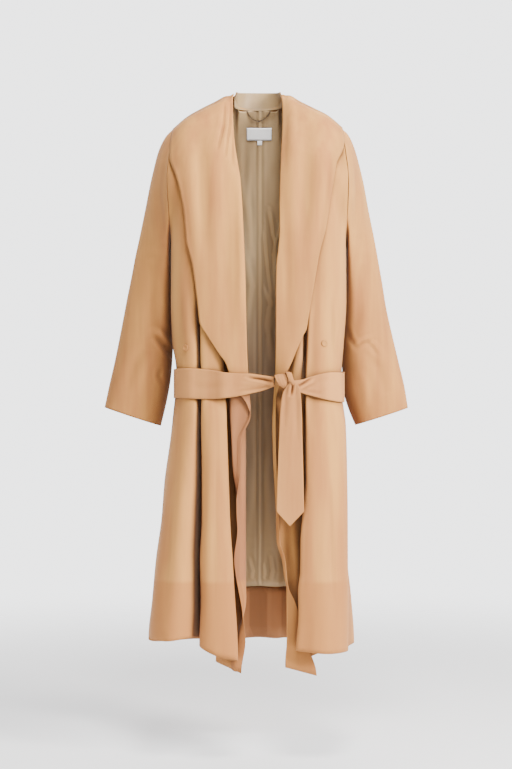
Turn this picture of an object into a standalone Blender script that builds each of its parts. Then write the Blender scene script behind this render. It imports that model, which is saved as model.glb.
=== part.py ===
# Long draped coat with a turned-back waterfall front, wide sleeves and a tied sash.
# Frame: +Z up, +X to the viewer's right, the open front faces -Y, origin at the nape.
# All tables are in millimetres; a level is the height of a row of cloth below the nape.
import math

import bmesh
import bpy
from mathutils import Vector

MM = 0.001
COLLECTION = "draped_coat"

CLOTH = 1.6             # wall of the coat cloth
LINING_CLOTH = 1.2      # wall of the lining and the neck facing
SASH_CLOTH = 2.0        # wall of the doubled sash cloth
SEAM_GAP = 0.5          # clear space between two pieces at a seam
NECK_LEVEL = 24         # level of the row that lies along the shoulder seams
CHEST_LEVEL = -250      # rows below this one run level, those above rise to the shoulders
HEM_LEVEL = -1140       # nominal level of the hem row
HEM_BEND_LEVEL = -1000  # rows below this one dip towards the uneven hem
ARMHOLE_TOP = -51
ARMHOLE_BOTTOM = -301
ARMHOLE_HALF_DEPTH = 70
TURNS = ("pit", "second_pit")
SHARPEST_TURN = 0.3     # sum of two unit steps below which a turn counts as doubled back
TURN_RADIUS = 2.5       # radius of the cloth at the bottom of those turns
LAPEL_RISE = 4          # how far the turned-back layer lies above the shoulder seam
LAPEL_RISE_END = -60    # level where that rise has run out
LINING_INSET = 2.8      # from the middle of the back's wall to the middle of the lining's
HEM_FACING_INSET = 2.3
HEM_FACING_TOP = -1046
LINING_BOTTOM = -1036
LINING_TOP_LEVEL = 22
LINING_SHOULDER_DROP = 12  # how far the lining stays below the shoulder seams
LINING_DROP_LEVEL = -80    # level where that drop begins
LINING_DROP_X = (18, 46)   # distances from the middle between which it grows
FRONT_LEVELS = (24, 12, -5, -30, -60, -100, -145, -192, -242, -300, -350, -418, -470, -500, -530,
                -558, -582, -606, -630, -646, -660, -678, -700, -725, -760, -790, -812, -830, -848,
                -900, -965, -1010, -1050, -1085, -1115, -1140)
BACK_LEVELS = (24, 19, 12, 4, -6, -18, -32, -52, -80, -110, -150, -200, -240, -265, -285, -300,
               -360, -430, -500, -560, -598, -636, -700, -780, -870, -960, -1050, -1100, -1140)

# Height of the top edge of the body over its width: (x, z), neck hollow in the middle.
TOP_EDGE = ((0, 0), (43, 4), (56, 23), (104, -2), (147, -23), (175, -43), (190, -56))

# Lines down the armhole and side seam of each half: (level, x).
RIGHT_SIDE = ((24, -182), (-60, -189), (-120, -192), (-300, -187), (-418, -187), (-501, -185),
              (-559, -176), (-600, -174), (-634, -179), (-717, -188), (-803, -200), (-888, -207),
              (-974, -219), (-1059, -227), (-1143, -235))
LEFT_SIDE = ((24, 179), (-60, 185), (-120, 189), (-300, 187), (-418, 188), (-516, 182),
             (-570, 178), (-608, 177), (-647, 182), (-685, 187), (-803, 190), (-974, 190),
             (-1061, 193), (-1160, 192))
SIDE_SEAM_Y = -10

# Lines of the wearer's right front, from the side seam to the roll: each is a crease or a
# crest that runs from the shoulder to the hem, as rows of (level, x, y), with its hem height.
RIGHT_FRONT = (
    ("corner", -1143, 1, (
        (24, -160, -1), (12, -162, -23), (-15, -168, -42), (-60, -176, -60), (-150, -183, -76),
        (-300, -181, -58),
        (-418, -181, -56), (-559, -170, -54), (-600, -168, -54), (-717, -180, -62),
        (-888, -197, -72), (-1143, -222, -78))),
    ("panel", -1142, 1, (
        (24, -142, -1), (12, -143, -26), (-15, -145, -48), (-60, -150, -68), (-150, -157, -83),
        (-300, -155, -88),
        (-418, -158, -88), (-559, -153, -84), (-600, -152, -82), (-717, -157, -94),
        (-888, -170, -108), (-1143, -185, -114))),
    ("lip", -1128, 1, (
        (24, -126, -1), (12, -127, -27), (-15, -128, -49), (-60, -130, -70), (-150, -134, -86),
        (-300, -136, -93),
        (-418, -137, -94), (-464, -135, -93), (-526, -132, -92), (-600, -131, -90),
        (-673, -133, -96), (-798, -136, -100), (-882, -140, -101), (-965, -142, -102),
        (-1049, -142, -102), (-1129, -145, -101))),
    ("pit", -1130, 2, (
        (24, -116, -1), (12, -116, -26), (-15, -117, -48), (-60, -118, -70), (-150, -120, -87),
        (-300, -122, -95),
        (-418, -124, -92), (-464, -121, -76), (-526, -117, -62), (-600, -115, -62),
        (-673, -117, -54), (-798, -117, -51), (-965, -119, -51), (-1140, -120, -52))),
    ("second_edge", -1146, 2, (
        (24, -108, -1), (12, -108, -26), (-15, -108, -47), (-60, -108, -70), (-150, -110, -88),
        (-300, -112, -97),
        (-418, -114, -97), (-464, -120, -98), (-526, -120, -97), (-600, -118, -95),
        (-673, -118, -101), (-798, -116, -104), (-881, -116, -105), (-965, -120, -106),
        (-1048, -118, -106), (-1146, -121, -106))),
    ("second_crest", -1163, 2, (
        (24, -96, -1), (12, -96, -25), (-15, -96, -46), (-60, -95, -69), (-150, -94, -88),
        (-300, -95, -98),
        (-464, -97, -101), (-526, -97, -103), (-600, -95, -99), (-673, -94, -110),
        (-798, -92, -116), (-965, -90, -120), (-1146, -86, -122))),
    ("second_turn", -1173, 2, (
        (24, -86, -1), (12, -86, -24), (-15, -85, -44), (-60, -84, -67), (-150, -80, -87),
        (-300, -79, -98),
        (-464, -78, -99), (-568, -72, -96), (-600, -70, -95), (-673, -67, -102),
        (-798, -63, -106), (-881, -60, -108), (-965, -54, -109), (-1048, -49, -110),
        (-1173, -43, -110))),
    ("second_pit", -1184, 2, (
        (24, -78, -1), (12, -78, -23), (-15, -77, -42), (-60, -76, -65), (-150, -70, -86),
        (-300, -68, -96),
        (-464, -68, -92), (-568, -76, -76), (-600, -79, -74), (-673, -80, -58),
        (-798, -78, -50), (-965, -82, -50), (-1157, -89, -52))),
    ("inner_fold", -1196, 2, (
        (24, -71, -1), (12, -71, -17), (-15, -70, -35), (-60, -69, -60), (-150, -60, -85),
        (-300, -56, -95),
        (-464, -50, -94), (-568, -38, -86), (-600, -36, -86), (-656, -32, -82), (-698, -27, -76),
        (-883, -27, -72), (-1050, -27, -72), (-1135, -50, -74), (-1204, -58, -78))),
    ("third_edge", -1200, 2, (
        (24, -65, -1), (12, -65, -14), (-15, -64, -30), (-60, -62, -56), (-150, -52, -85),
        (-300, -45, -96),
        (-464, -44, -99), (-568, -52, -97), (-600, -56, -97), (-627, -59, -100),
        (-731, -55, -104), (-775, -53, -101), (-820, -46, -94), (-860, -40, -90), (-903, -38, -89),
        (-993, -38, -90), (-1050, -29, -87), (-1135, -42, -86), (-1204, -50, -87))),
    ("roll", -1201, 2, (
        (24, -53, -5), (12, -55, -17), (-13, -55, -30), (-56, -53, -55), (-94, -49, -74),
        (-130, -43, -84),
        (-157, -39, -91), (-212, -35, -98), (-277, -32, -106), (-366, -28, -108),
        (-502, -25, -108), (-577, -22, -107), (-618, -19, -107), (-650, -17, -106),
        (-660, -19, -106), (-676, -25, -106), (-717, -43, -106), (-775, -44, -106),
        (-797, -44, -103), (-820, -45, -98), (-840, -44, -95), (-860, -42, -92),
        (-903, -41, -91), (-993, -43, -92),
        (-1050, -33, -89), (-1135, -36, -88), (-1204, -43, -88))),
)
RIGHT_FREE_EDGE = ("free_edge", -1204, 1, (
    (24, -182, -5), (12, -182, -31), (-15, -182, -51), (-60, -181, -69), (-102, -175, -85),
    (-144, -168, -93),
    (-192, -162, -98), (-242, -156, -101), (-298, -151, -103), (-350, -138, -106),
    (-423, -128, -107), (-473, -122, -108), (-485, -115, -109), (-512, -97, -112),
    (-533, -83, -113), (-556, -67, -113), (-572, -62, -112), (-622, -37, -113), (-632, -28, -113),
    (-650, -20, -112), (-660, -16, -110), (-676, -19, -109), (-687, -25, -109), (-717, -35, -109),
    (-775, -36, -109), (-797, -39, -107), (-820, -43, -103), (-840, -46, -97),
    (-860, -46, -94), (-903, -44, -94), (-966, -51, -94),
    (-993, -48, -94), (-1050, -38, -92), (-1092, -31, -91), (-1135, -27, -90),
    (-1204, -36, -89)))

# Lines of the wearer's left front, from the side seam to the roll.
LEFT_FRONT = (
    ("corner", -1160, 1, (
        (24, 158, -1), (12, 160, -23), (-15, 165, -42), (-60, 173, -60), (-150, 180, -76),
        (-300, 181, -58),
        (-418, 182, -56), (-516, 176, -55), (-600, 170, -54), (-700, 180, -62), (-900, 184, -74),
        (-1143, 184, -80))),
    ("panel", -1159, 1, (
        (24, 138, -1), (12, 140, -26), (-15, 143, -47), (-60, 148, -67), (-150, 151, -83),
        (-300, 152, -88),
        (-418, 152, -88), (-516, 148, -87), (-600, 142, -84), (-700, 148, -98), (-900, 148, -112),
        (-1143, 146, -116))),
    ("panel_edge", -1156, 1, (
        (24, 118, -1), (12, 119, -26), (-15, 122, -48), (-60, 125, -69), (-150, 126, -85),
        (-300, 125, -94),
        (-500, 118, -95), (-600, 114, -90), (-700, 117, -104), (-900, 112, -114),
        (-1150, 106, -117))),
    ("lip", -1153, 2, (
        (24, 104, -1), (12, 104, -26), (-15, 105, -47), (-60, 106, -69), (-150, 108, -86),
        (-300, 106, -97),
        (-418, 106, -98), (-495, 104, -97), (-530, 103, -96), (-579, 100, -92), (-631, 99, -98),
        (-798, 99, -106), (-862, 93, -107), (-925, 88, -108), (-990, 87, -108), (-1029, 83, -109),
        (-1077, 84, -109), (-1152, 79, -109))),
    ("pit", -1158, 2, (
        (24, 96, -1), (12, 96, -25), (-15, 97, -46), (-60, 97, -68), (-150, 98, -87),
        (-300, 97, -97),
        (-418, 98, -98), (-495, 98, -72), (-540, 98, -62), (-579, 102, -66), (-631, 116, -62),
        (-798, 124, -54), (-1000, 133, -52), (-1060, 146, -52), (-1152, 148, -52))),
    ("small_edge", -1170, 2, (
        (24, 90, -1), (12, 90, -25), (-15, 90, -45), (-60, 89, -67), (-150, 88, -87),
        (-300, 88, -97),
        (-418, 90, -99), (-495, 91, -99), (-540, 90, -97), (-579, 86, -88), (-631, 91, -76),
        (-798, 96, -68), (-1000, 104, -64), (-1152, 118, -61))),
    ("small_turn", -1178, 2, (
        (24, 84, -1), (12, 84, -24), (-15, 84, -44), (-60, 82, -66), (-150, 80, -87),
        (-300, 78, -97),
        (-418, 80, -99), (-495, 80, -99), (-526, 79, -99), (-579, 74, -92), (-631, 74, -84),
        (-798, 72, -84), (-1000, 82, -76), (-1152, 96, -70))),
    ("small_pit", -1184, 2, (
        (24, 77, -1), (12, 77, -23), (-15, 76, -41), (-60, 74, -64), (-150, 70, -86),
        (-300, 66, -96),
        (-495, 70, -92), (-579, 62, -86), (-631, 52, -80), (-798, 52, -78), (-925, 56, -78),
        (-1000, 68, -77), (-1152, 78, -74))),
    ("inner", -1188, 2, (
        (24, 68, -1), (12, 67, -15), (-15, 66, -32), (-60, 64, -57), (-150, 58, -86),
        (-300, 54, -97),
        (-495, 54, -96), (-579, 48, -90), (-631, 44, -82), (-798, 45, -82), (-925, 49, -82),
        (-1000, 61, -81), (-1060, 65, -79), (-1152, 66, -77))),
    ("roll", -1192, 2, (
        (24, 49, -3), (12, 51, -15), (-13, 52, -30), (-56, 51, -55), (-94, 49, -74),
        (-148, 47, -89),
        (-212, 45, -98), (-276, 45, -106), (-306, 43, -106), (-351, 38, -107), (-412, 37, -107),
        (-481, 37, -107), (-579, 36, -103), (-610, 33, -96), (-683, 30, -94), (-736, 31, -94),
        (-861, 37, -94), (-926, 39, -93), (-966, 50, -91), (-1008, 56, -89), (-1023, 59, -88),
        (-1071, 60, -87), (-1131, 60, -86), (-1186, 57, -85))),
)
LEFT_FREE_EDGE = ("free_edge", -1212, 1, (
    (24, 179, -5), (12, 179, -31), (-15, 177, -51), (-60, 171, -70), (-98, 164, -86),
    (-156, 158, -96),
    (-268, 142, -103), (-323, 128, -106), (-398, 115, -108), (-468, 103, -109),
    (-481, 101, -110), (-501, 91, -111), (-531, 78, -113), (-560, 66, -113), (-579, 55, -111),
    (-600, 44, -104), (-631, 37, -99), (-683, 36, -100), (-736, 37, -100), (-861, 43, -100),
    (-926, 45, -99), (-966, 56, -97), (-1008, 60, -96), (-1024, 63, -95), (-1049, 75, -91),
    (-1072, 83, -87), (-1150, 105, -77), (-1212, 123, -72)))

# How far the turned-back layer bows forward between the roll and its free edge: (level, bow).
LAPEL_BOW = ((24, 2), (12, 13), (-15, 20), (-60, 19), (-150, 10), (-240, 7), (-400, 4), (-560, 3),
             (-640, 1), (-1212, 0))
LAPEL_SHARES = (0.12, 0.3, 0.53, 0.77)

# Depth of the back at lines set by their x at the chest: level, then depth at each line.
BACK_LINES = ("corner", "blade", "shoulder", "neck", "nape_side", "centre")
BACK_LINE_X = {"blade": 130, "shoulder": 92, "neck": 56, "nape_side": 42, "centre": 0}
BACK_DEPTHS = (
    (24, 1, 1, 1, 5, 32, 52),
    (12, 22, 24, 26, 30, 42, 55),
    (0, 36, 38, 40, 44, 51, 59),
    (-30, 54, 58, 60, 62, 66, 68),
    (-80, 66, 76, 78, 78, 78, 78),
    (-150, 74, 88, 92, 92, 90, 88),
    (-240, 60, 92, 100, 102, 100, 98),
    (-300, 54, 90, 102, 105, 104, 102),
    (-420, 50, 84, 98, 102, 102, 100),
    (-600, 44, 74, 88, 92, 92, 90),
    (-720, 52, 84, 96, 100, 98, 98),
    (-900, 58, 94, 102, 108, 104, 106),
    (-1160, 62, 100, 108, 114, 108, 112),
)
# How far the back's corners stand in from the side seams: (level, right inset, left inset).
BACK_CORNER = ((24, 12, 12), (-240, 12, 12), (-330, 22, 22), (-500, 20, 20), (-590, 10, 10),
               (-900, 8, 8), (-1050, 6, -4), (-1160, 4, -14))
BACK_HEM = -1160
BACK_FOLD_WIDTH = 82    # spacing of the soft folds that fall from the sash at the back
BACK_FOLD_HEIGHT = 6    # their depth at the hem
BACK_FOLD_TOP = -560    # level where they start
BACK_FOLD_REACH = 170   # distance from the middle where they have run out
BACK_FOLD_FADE = 40     # width over which they run out

# Rings of a sleeve: outer edge x, z, inner edge x, z, middle depth, half depth.
RIGHT_SLEEVE = (
    (-198, -66, -191, -318, 2, 67), (-213, -94, -190, -345, 6, 63),
    (-229, -152, -189.5, -382, 14, 57),
    (-244, -222, -188, -425, 23, 52), (-258, -292, -186, -470, 28, 48),
    (-272, -358, -185.5, -510, 32, 46),
    (-286, -424, -187, -545, 34, 45), (-299, -490, -190, -580, 36, 43),
    (-311, -548, -196, -618, 37, 40),
    (-323, -600, -204, -655, 36, 37), (-333, -648, -212, -688, 35, 34))
LEFT_SLEEVE = (
    (192, -62, 191, -318, 2, 67), (206, -90, 190, -345, 6, 63), (223, -150, 190, -382, 14, 57),
    (237, -218, 188.5, -425, 23, 52), (251, -292, 187, -470, 28, 48), (263, -358, 185.5, -510, 32, 46),
    (275, -424, 187, -545, 34, 45), (289, -487, 186, -580, 36, 43), (303, -545, 187, -618, 37, 40),
    (316, -600, 198, -655, 36, 37), (324, -649, 211, -686, 35, 34))
SLEEVE_SIDES = 22
HALVINGS = 30           # steps in the search for a level at a height
SLEEVE_CLEARANCE = 2.2  # from the armhole edge to the middle of the sleeve's wall

# Sash round the waist, from the knot over the wearer's right front, the back and the left
# front to the knot again: x, y, top height, bottom height.
SASH = (
    (33, -127, -583, -602), (12, -122, -580, -610), (-18, -118, -576, -618),
    (-42, -117, -575, -623),
    (-70, -116, -573, -627), (-92, -108, -569, -629), (-117, -101, -566, -629),
    (-148, -91, -564, -628), (-172, -62, -565, -627), (-180, -20, -566, -628),
    (-178.5, 26, -566, -628), (-167, 55, -567, -629), (-132, 80, -567, -629), (-92, 93, -567, -629),
    (-48, 97, -567, -629), (0, 95, -567, -629), (48, 97, -567, -629), (92, 93, -567, -629),
    (132, 80, -567, -629), (170, 55, -568, -630), (180, 26, -570, -632), (183.5, -20, -572, -635),
    (175, -63, -573, -636), (150, -90, -573, -632), (128, -98, -577, -627), (110, -103, -582, -622),
    (92, -110, -588, -617), (78, -119, -590, -611), (70, -127, -591, -606))
KNOT_CENTRE = (51, -130, -591)
KNOT_RADII = (18, 13, 16)
KNOT_CLEARANCE = 1.8    # from the knot to the middle of the band's wall
KNOT_SMALLEST_REACH = 6
# Hanging ends of the sash: height, left x, right x, y.
SASH_TAIL = (
    (-590, 69.5, 77, -132), (-600, 66, 81, -136), (-610, 57, 85, -136), (-624, 50, 88, -134),
    (-653, 45, 91, -129),
    (-700, 42, 91, -125), (-775, 41, 95, -123), (-862, 37, 95, -122), (-892, 64, 67, -122))
SASH_UNDER_TAIL = (
    (-606, 50, 62, -123.5), (-618, 50, 75, -118), (-640, 50, 84, -114), (-720, 46, 86, -113),
    (-800, 44, 88, -112),
    (-836, 62, 66, -112))

COLLAR_STEPS = 16
COLLAR_HALF_WIDTH = 53
COLLAR_TOP_HALF_WIDTH = 47
COLLAR_FRONT_Y = 3
COLLAR_BACK_Y = 53
COLLAR_TOP = 37
COLLAR_END_DROP = 6     # how much lower the stand's ends are than its middle
COLLAR_LIFT = 1.0       # clear height over the neck seam of the back
COLLAR_SIDE_LIFT = 1.8  # more of it where the seam climbs to the shoulders
COLLAR_FACING_INSET = 2.0

LABEL_X = (-25, 29)
LABEL_Z = (-38, -64)
SIZE_LABEL_X = (-2, 8)
SIZE_LABEL_Z = (-65, -74)
LABEL_CLOTH = 0.6
LABEL_LIFT = 1.7        # from the middle of the lining to the middle of a label
CHAIN_POINTS = ((-24, -4), (-21, -11), (-15, -18), (-8, -22), (0, -24), (8, -22), (15, -18),
                (22, -11), (26, -4))
CHAIN_RADIUS = 1.1
CHAIN_LIFT = 1.5        # clear space between the chain and the lining
BUTTON_RADIUS = 7
BUTTON_TOP_RADIUS = 6
BUTTON_HEIGHT = 2
BUTTON_GAP = 0.7
RIGHT_BUTTON = (-152, -521)
LEFT_BUTTON = (138, -512)

CAMEL = (0.62, 0.42, 0.27, 1)
CAMEL_LIGHT = (0.68, 0.48, 0.33, 1)
KHAKI = (0.40, 0.32, 0.21, 1)
WHITE = (0.80, 0.80, 0.78, 1)
GUNMETAL = (0.12, 0.11, 0.09, 1)


def read_line(rows, level):
    """Read a line's x and y at a level, smoothly and without overshoot between its rows."""
    rows = sorted(rows, key=lambda row: row[0])
    if level <= rows[0][0]:
        return rows[0][1:]
    if level >= rows[-1][0]:
        return rows[-1][1:]
    index = max(i for i in range(len(rows) - 1) if rows[i][0] <= level)
    span = rows[index + 1][0] - rows[index][0]
    share = (level - rows[index][0]) / span
    values = []
    for column in range(1, len(rows[0])):
        start = rows[index][column]
        end = rows[index + 1][column]
        start_slope = line_slope(rows, index, column) * span
        end_slope = line_slope(rows, index + 1, column) * span
        square = share * share
        cube = square * share
        value = ((2 * cube - 3 * square + 1) * start + (cube - 2 * square + share) * start_slope
                 + (3 * square - 2 * cube) * end + (cube - square) * end_slope)
        values.append(value)
    return tuple(values)


def line_slope(rows, index, column):
    """Slope at a row: the harmonic mean of its neighbours, zero at a turning point."""
    if index == 0 or index == len(rows) - 1:
        return 0
    below = (rows[index][column] - rows[index - 1][column]) / (rows[index][0] - rows[index - 1][0])
    above = (rows[index + 1][column] - rows[index][column]) / (rows[index + 1][0] - rows[index][0])
    if below * above <= 0:
        return 0
    return 2 * below * above / (below + above)


def top_edge_height(x):
    """Height of the body's top edge at a distance from the middle."""
    x = abs(x)
    for (x_in, z_in), (x_out, z_out) in zip(TOP_EDGE, TOP_EDGE[1:]):
        if x <= x_out:
            return z_in + (z_out - z_in) * (x - x_in) / (x_out - x_in)
    return TOP_EDGE[-1][1]


def cloth_height(x, level):
    """Height of a point of a row: level below the chest, along the shoulders at the top."""
    share = min(max((level - CHEST_LEVEL) / (NECK_LEVEL - CHEST_LEVEL), 0), 1)
    share = share * share * (3 - 2 * share)
    return level + (top_edge_height(x) - NECK_LEVEL) * share


def hem_level(level, hem):
    """Move the lowest rows down or up to a line's own hem height."""
    share = min(max((HEM_BEND_LEVEL - level) / (HEM_BEND_LEVEL - HEM_LEVEL), 0), 1)
    return level + (hem - HEM_LEVEL) * share * share


def armhole_depth(z):
    """Half depth of the armhole's oval at a height, or the side seam's depth below it."""
    if z <= ARMHOLE_BOTTOM:
        return SIDE_SEAM_Y
    middle = (ARMHOLE_TOP + ARMHOLE_BOTTOM) / 2
    half = (ARMHOLE_TOP - ARMHOLE_BOTTOM) / 2
    return ARMHOLE_HALF_DEPTH * math.sqrt(max(0, 1 - ((z - middle) / half) ** 2))


def smooth_path(points, steps):
    """Run a smooth curve through points, with a number of steps for each span."""
    result = [Vector(points[0])]
    for i, step_count in enumerate(steps):
        start = Vector(points[i])
        end = Vector(points[i + 1])
        before = Vector(points[i - 1]) if i else start * 2 - end
        after = Vector(points[i + 2]) if i + 2 < len(points) else end * 2 - start
        knots = [0]
        for a, b in ((before, start), (start, end), (end, after)):
            knots.append(knots[-1] + max((b - a).length, 0.001) ** 0.5)
        for step in range(1, step_count + 1):
            t = knots[1] + (knots[2] - knots[1]) * step / step_count
            result.append(spline_point((before, start, end, after), knots, t))
    return result


def spline_point(points, knots, t):
    """Point at t of a centripetal curve through four points."""
    first = [blend(points[i], points[i + 1], knots[i], knots[i + 1], t) for i in range(3)]
    second = [blend(first[i], first[i + 1], knots[i], knots[i + 2], t) for i in range(2)]
    return blend(second[0], second[1], knots[1], knots[2], t)


def blend(a, b, start, end, t):
    """Point between a and b at t on the span from start to end."""
    return a * ((end - t) / (end - start)) + b * ((t - start) / (end - start))


def side_x_at(side_line, z):
    """Read the x of the armhole edge or the side seam at a height."""
    low = HEM_LEVEL
    high = NECK_LEVEL
    for _ in range(HALVINGS):
        level = (low + high) / 2
        x = read_line(side_line, level)[0]
        if cloth_height(x, level) > z:
            high = level
        else:
            low = level
    return x


def front_row(side_line, lines, free_edge, level):
    """Points of one row of a front: side seam, folds, roll and turned-back layer."""
    hem = lines[0][1]
    side_level = hem_level(level, hem)
    side_x = read_line(side_line, side_level)[0]
    side_z = cloth_height(side_x, side_level)
    side_y = -abs(armhole_depth(side_z)) - SEAM_GAP
    points = [(side_x, side_y, side_z)]
    steps = []
    turns = []
    for name, line_hem, step_count, rows in lines:
        row_level = hem_level(level, line_hem)
        x, y = read_line(rows, row_level)
        points.append((x, y, cloth_height(x, row_level)))
        steps.append(step_count)
        if name in TURNS:
            turns.append(len(points) - 1)
    roll_hem = lines[-1][1]
    free_hem = free_edge[1]
    for share in LAPEL_SHARES + (1,):
        row_level = hem_level(level, roll_hem + (free_hem - roll_hem) * share)
        roll_x, roll_y = read_line(lines[-1][3], row_level)
        free_x, free_y = read_line(free_edge[3], row_level)
        bow = read_line(LAPEL_BOW, row_level)[0] * max(math.sin(math.pi * share), 0) ** 0.6
        x = roll_x + (free_x - roll_x) * share
        y = roll_y + (free_y - roll_y) * share - bow
        near_top = min(max((row_level - LAPEL_RISE_END) / (NECK_LEVEL - LAPEL_RISE_END), 0), 1)
        rise = LAPEL_RISE * near_top * min(share * 8, 1)
        points.append((x, y, cloth_height(x, row_level) + rise))
        steps.append(1)
    for index in reversed(turns):
        points[index:index + 1] = round_turn(*points[index - 1:index + 2])
        steps.insert(index, 1)
    return smooth_path(points, steps)


def round_turn(before, turn, after):
    """Split the point of a tight turn in two, so that the cloth goes round a small radius."""
    before = Vector(before)
    turn = Vector(turn)
    after = Vector(after)
    reach = min(TURN_RADIUS, 0.3 * (turn - before).length, 0.3 * (after - turn).length)
    along = (after - before).normalized() * reach
    return [turn - along, turn + along]


def back_row(level):
    """Points of one row of the back, from the right side seam to the left."""
    row_level = hem_level(level, BACK_HEM)
    depths = dict(zip(BACK_LINES, read_line(BACK_DEPTHS, row_level)))
    insets = read_line(BACK_CORNER, row_level)
    halves = []
    for sign, side_line, hem, inset in ((-1, RIGHT_SIDE, RIGHT_FRONT[0][1], insets[0]),
                                        (1, LEFT_SIDE, LEFT_FRONT[0][1], insets[1])):
        side_level = hem_level(level, hem)
        side_x = read_line(side_line, side_level)[0]
        side_z = cloth_height(side_x, side_level)
        side_y = max(armhole_depth(side_z), SIDE_SEAM_Y) + SEAM_GAP
        half = [(side_x, side_y, side_z)]
        for name in BACK_LINES:
            x = side_x - sign * inset if name == "corner" else sign * BACK_LINE_X[name]
            y = max(depths[name], side_y) if name == "corner" else depths[name]
            half.append((x, y, cloth_height(x, row_level)))
        halves.append(half)
    points = halves[0] + halves[1][-2::-1]
    row = smooth_path(points, [2] * (len(points) - 1))
    fold = BACK_FOLD_HEIGHT * min(max((row_level - BACK_FOLD_TOP) / (BACK_HEM - BACK_FOLD_TOP), 0), 1)
    for point in row:
        inside = min(max((BACK_FOLD_REACH - abs(point.x)) / BACK_FOLD_FADE, 0), 1)
        point.y += fold * inside * math.cos(2 * math.pi * point.x / BACK_FOLD_WIDTH)
    return row


def inset_back_row(level, inset, shoulder_drop):
    """Points of a row that lies inside the back, clear of the side and shoulder seams."""
    near_top = min(max((level - LINING_DROP_LEVEL) / 60, 0), 1)
    drop_start, drop_end = LINING_DROP_X
    row = back_row(level)
    lower = back_row(level - shoulder_drop * near_top)
    points = []
    for index in range(2, len(row) - 2):
        near_seam = min(max((abs(row[index].x) - drop_start) / (drop_end - drop_start), 0), 1)
        point = row[index].lerp(lower[index], near_seam)
        ahead = row[index + 1] - row[index - 1]
        inward = Vector((ahead.y, -ahead.x, 0)).normalized() * inset
        inward.z = -1.5 * inset * near_seam * near_top
        points.append(point + inward)
    return points


def mesh_object(name, bm, material):
    """Turn a bmesh in millimetres into a named, coloured object of the coat."""
    bmesh.ops.recalc_face_normals(bm, faces=bm.faces)
    bmesh.ops.scale(bm, vec=(MM, MM, MM), verts=bm.verts)
    mesh = bpy.data.meshes.new(name)
    bm.to_mesh(mesh)
    bm.free()
    mesh.shade_smooth()
    mesh.materials.append(material)
    obj = bpy.data.objects.new(name, mesh)
    bpy.data.collections[COLLECTION].objects.link(obj)
    return obj


def cloth_object(name, rows, thickness, material, closed=False):
    """Loft rows of points into a sheet with two faces, one cloth thickness apart."""
    rows = [[Vector(point) for point in row] for row in rows]
    height = len(rows)
    width = len(rows[0])
    bm = bmesh.new()
    faces = []
    for side in (0.5, -0.5):
        grid = []
        for r, row in enumerate(rows):
            above = rows[max(r - 1, 0)]
            below = rows[min(r + 1, height - 1)]
            verts = []
            for i, point in enumerate(row):
                before = row[i - 1] if i or closed else point
                after = row[(i + 1) % width] if i < width - 1 or closed else point
                along = (point - before).normalized() + (after - point).normalized()
                if along.length < SHARPEST_TURN:
                    along = after - before
                normal = along.cross(below[i] - above[i]).normalized()
                verts.append(bm.verts.new(point + normal * thickness * side))
            grid.append(verts)
        faces.append(grid)
    front, back = faces
    spans = range(width if closed else width - 1)
    for r in range(height - 1):
        for i in spans:
            j = (i + 1) % width
            bm.faces.new((front[r][i], front[r][j], front[r + 1][j], front[r + 1][i]))
            bm.faces.new((back[r][i], back[r + 1][i], back[r + 1][j], back[r][j]))
    for r in (0, height - 1):
        for i in spans:
            j = (i + 1) % width
            bm.faces.new((front[r][i], back[r][i], back[r][j], front[r][j]))
    if not closed:
        for i in (0, width - 1):
            for r in range(height - 1):
                bm.faces.new((front[r][i], front[r + 1][i], back[r + 1][i], back[r][i]))
    return mesh_object(name, bm, material)


def make_material(name, color, roughness, metallic=0):
    """Plain material of one cloth or metal."""
    material = bpy.data.materials.new(name)
    material.use_nodes = True
    shader = material.node_tree.nodes["Principled BSDF"]
    shader.inputs["Base Color"].default_value = color
    shader.inputs["Roughness"].default_value = roughness
    shader.inputs["Metallic"].default_value = metallic
    return material


def make_front(name, side_line, lines, free_edge, material):
    """Make one front with its folds and turned-back layer as a single cut piece."""
    rows = [front_row(side_line, lines, free_edge, level) for level in FRONT_LEVELS]
    cloth_object(name, rows, CLOTH, material)


def make_back(material):
    """Make the back panel."""
    cloth_object("back", [back_row(level) for level in BACK_LEVELS], CLOTH, material)


def lining_rows():
    """Rows of the back lining, from the neck seam to its hem."""
    levels = tuple(level for level in BACK_LEVELS[1:] if level > LINING_BOTTOM)
    levels = (LINING_TOP_LEVEL,) + levels + (LINING_BOTTOM,)
    return [inset_back_row(level, LINING_INSET, LINING_SHOULDER_DROP) for level in levels]


def make_lining(material):
    """Make the back lining that shows through the open front."""
    cloth_object("back_lining", lining_rows(), LINING_CLOTH, material)


def make_hem_facing(material):
    """Make the deep turned-up hem that shows inside the back below the lining."""
    levels = (HEM_FACING_TOP, -1100, HEM_LEVEL + 1)
    rows = [inset_back_row(level, HEM_FACING_INSET, 0) for level in levels]
    cloth_object("back_hem_facing", rows, LINING_CLOTH, material)


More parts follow.
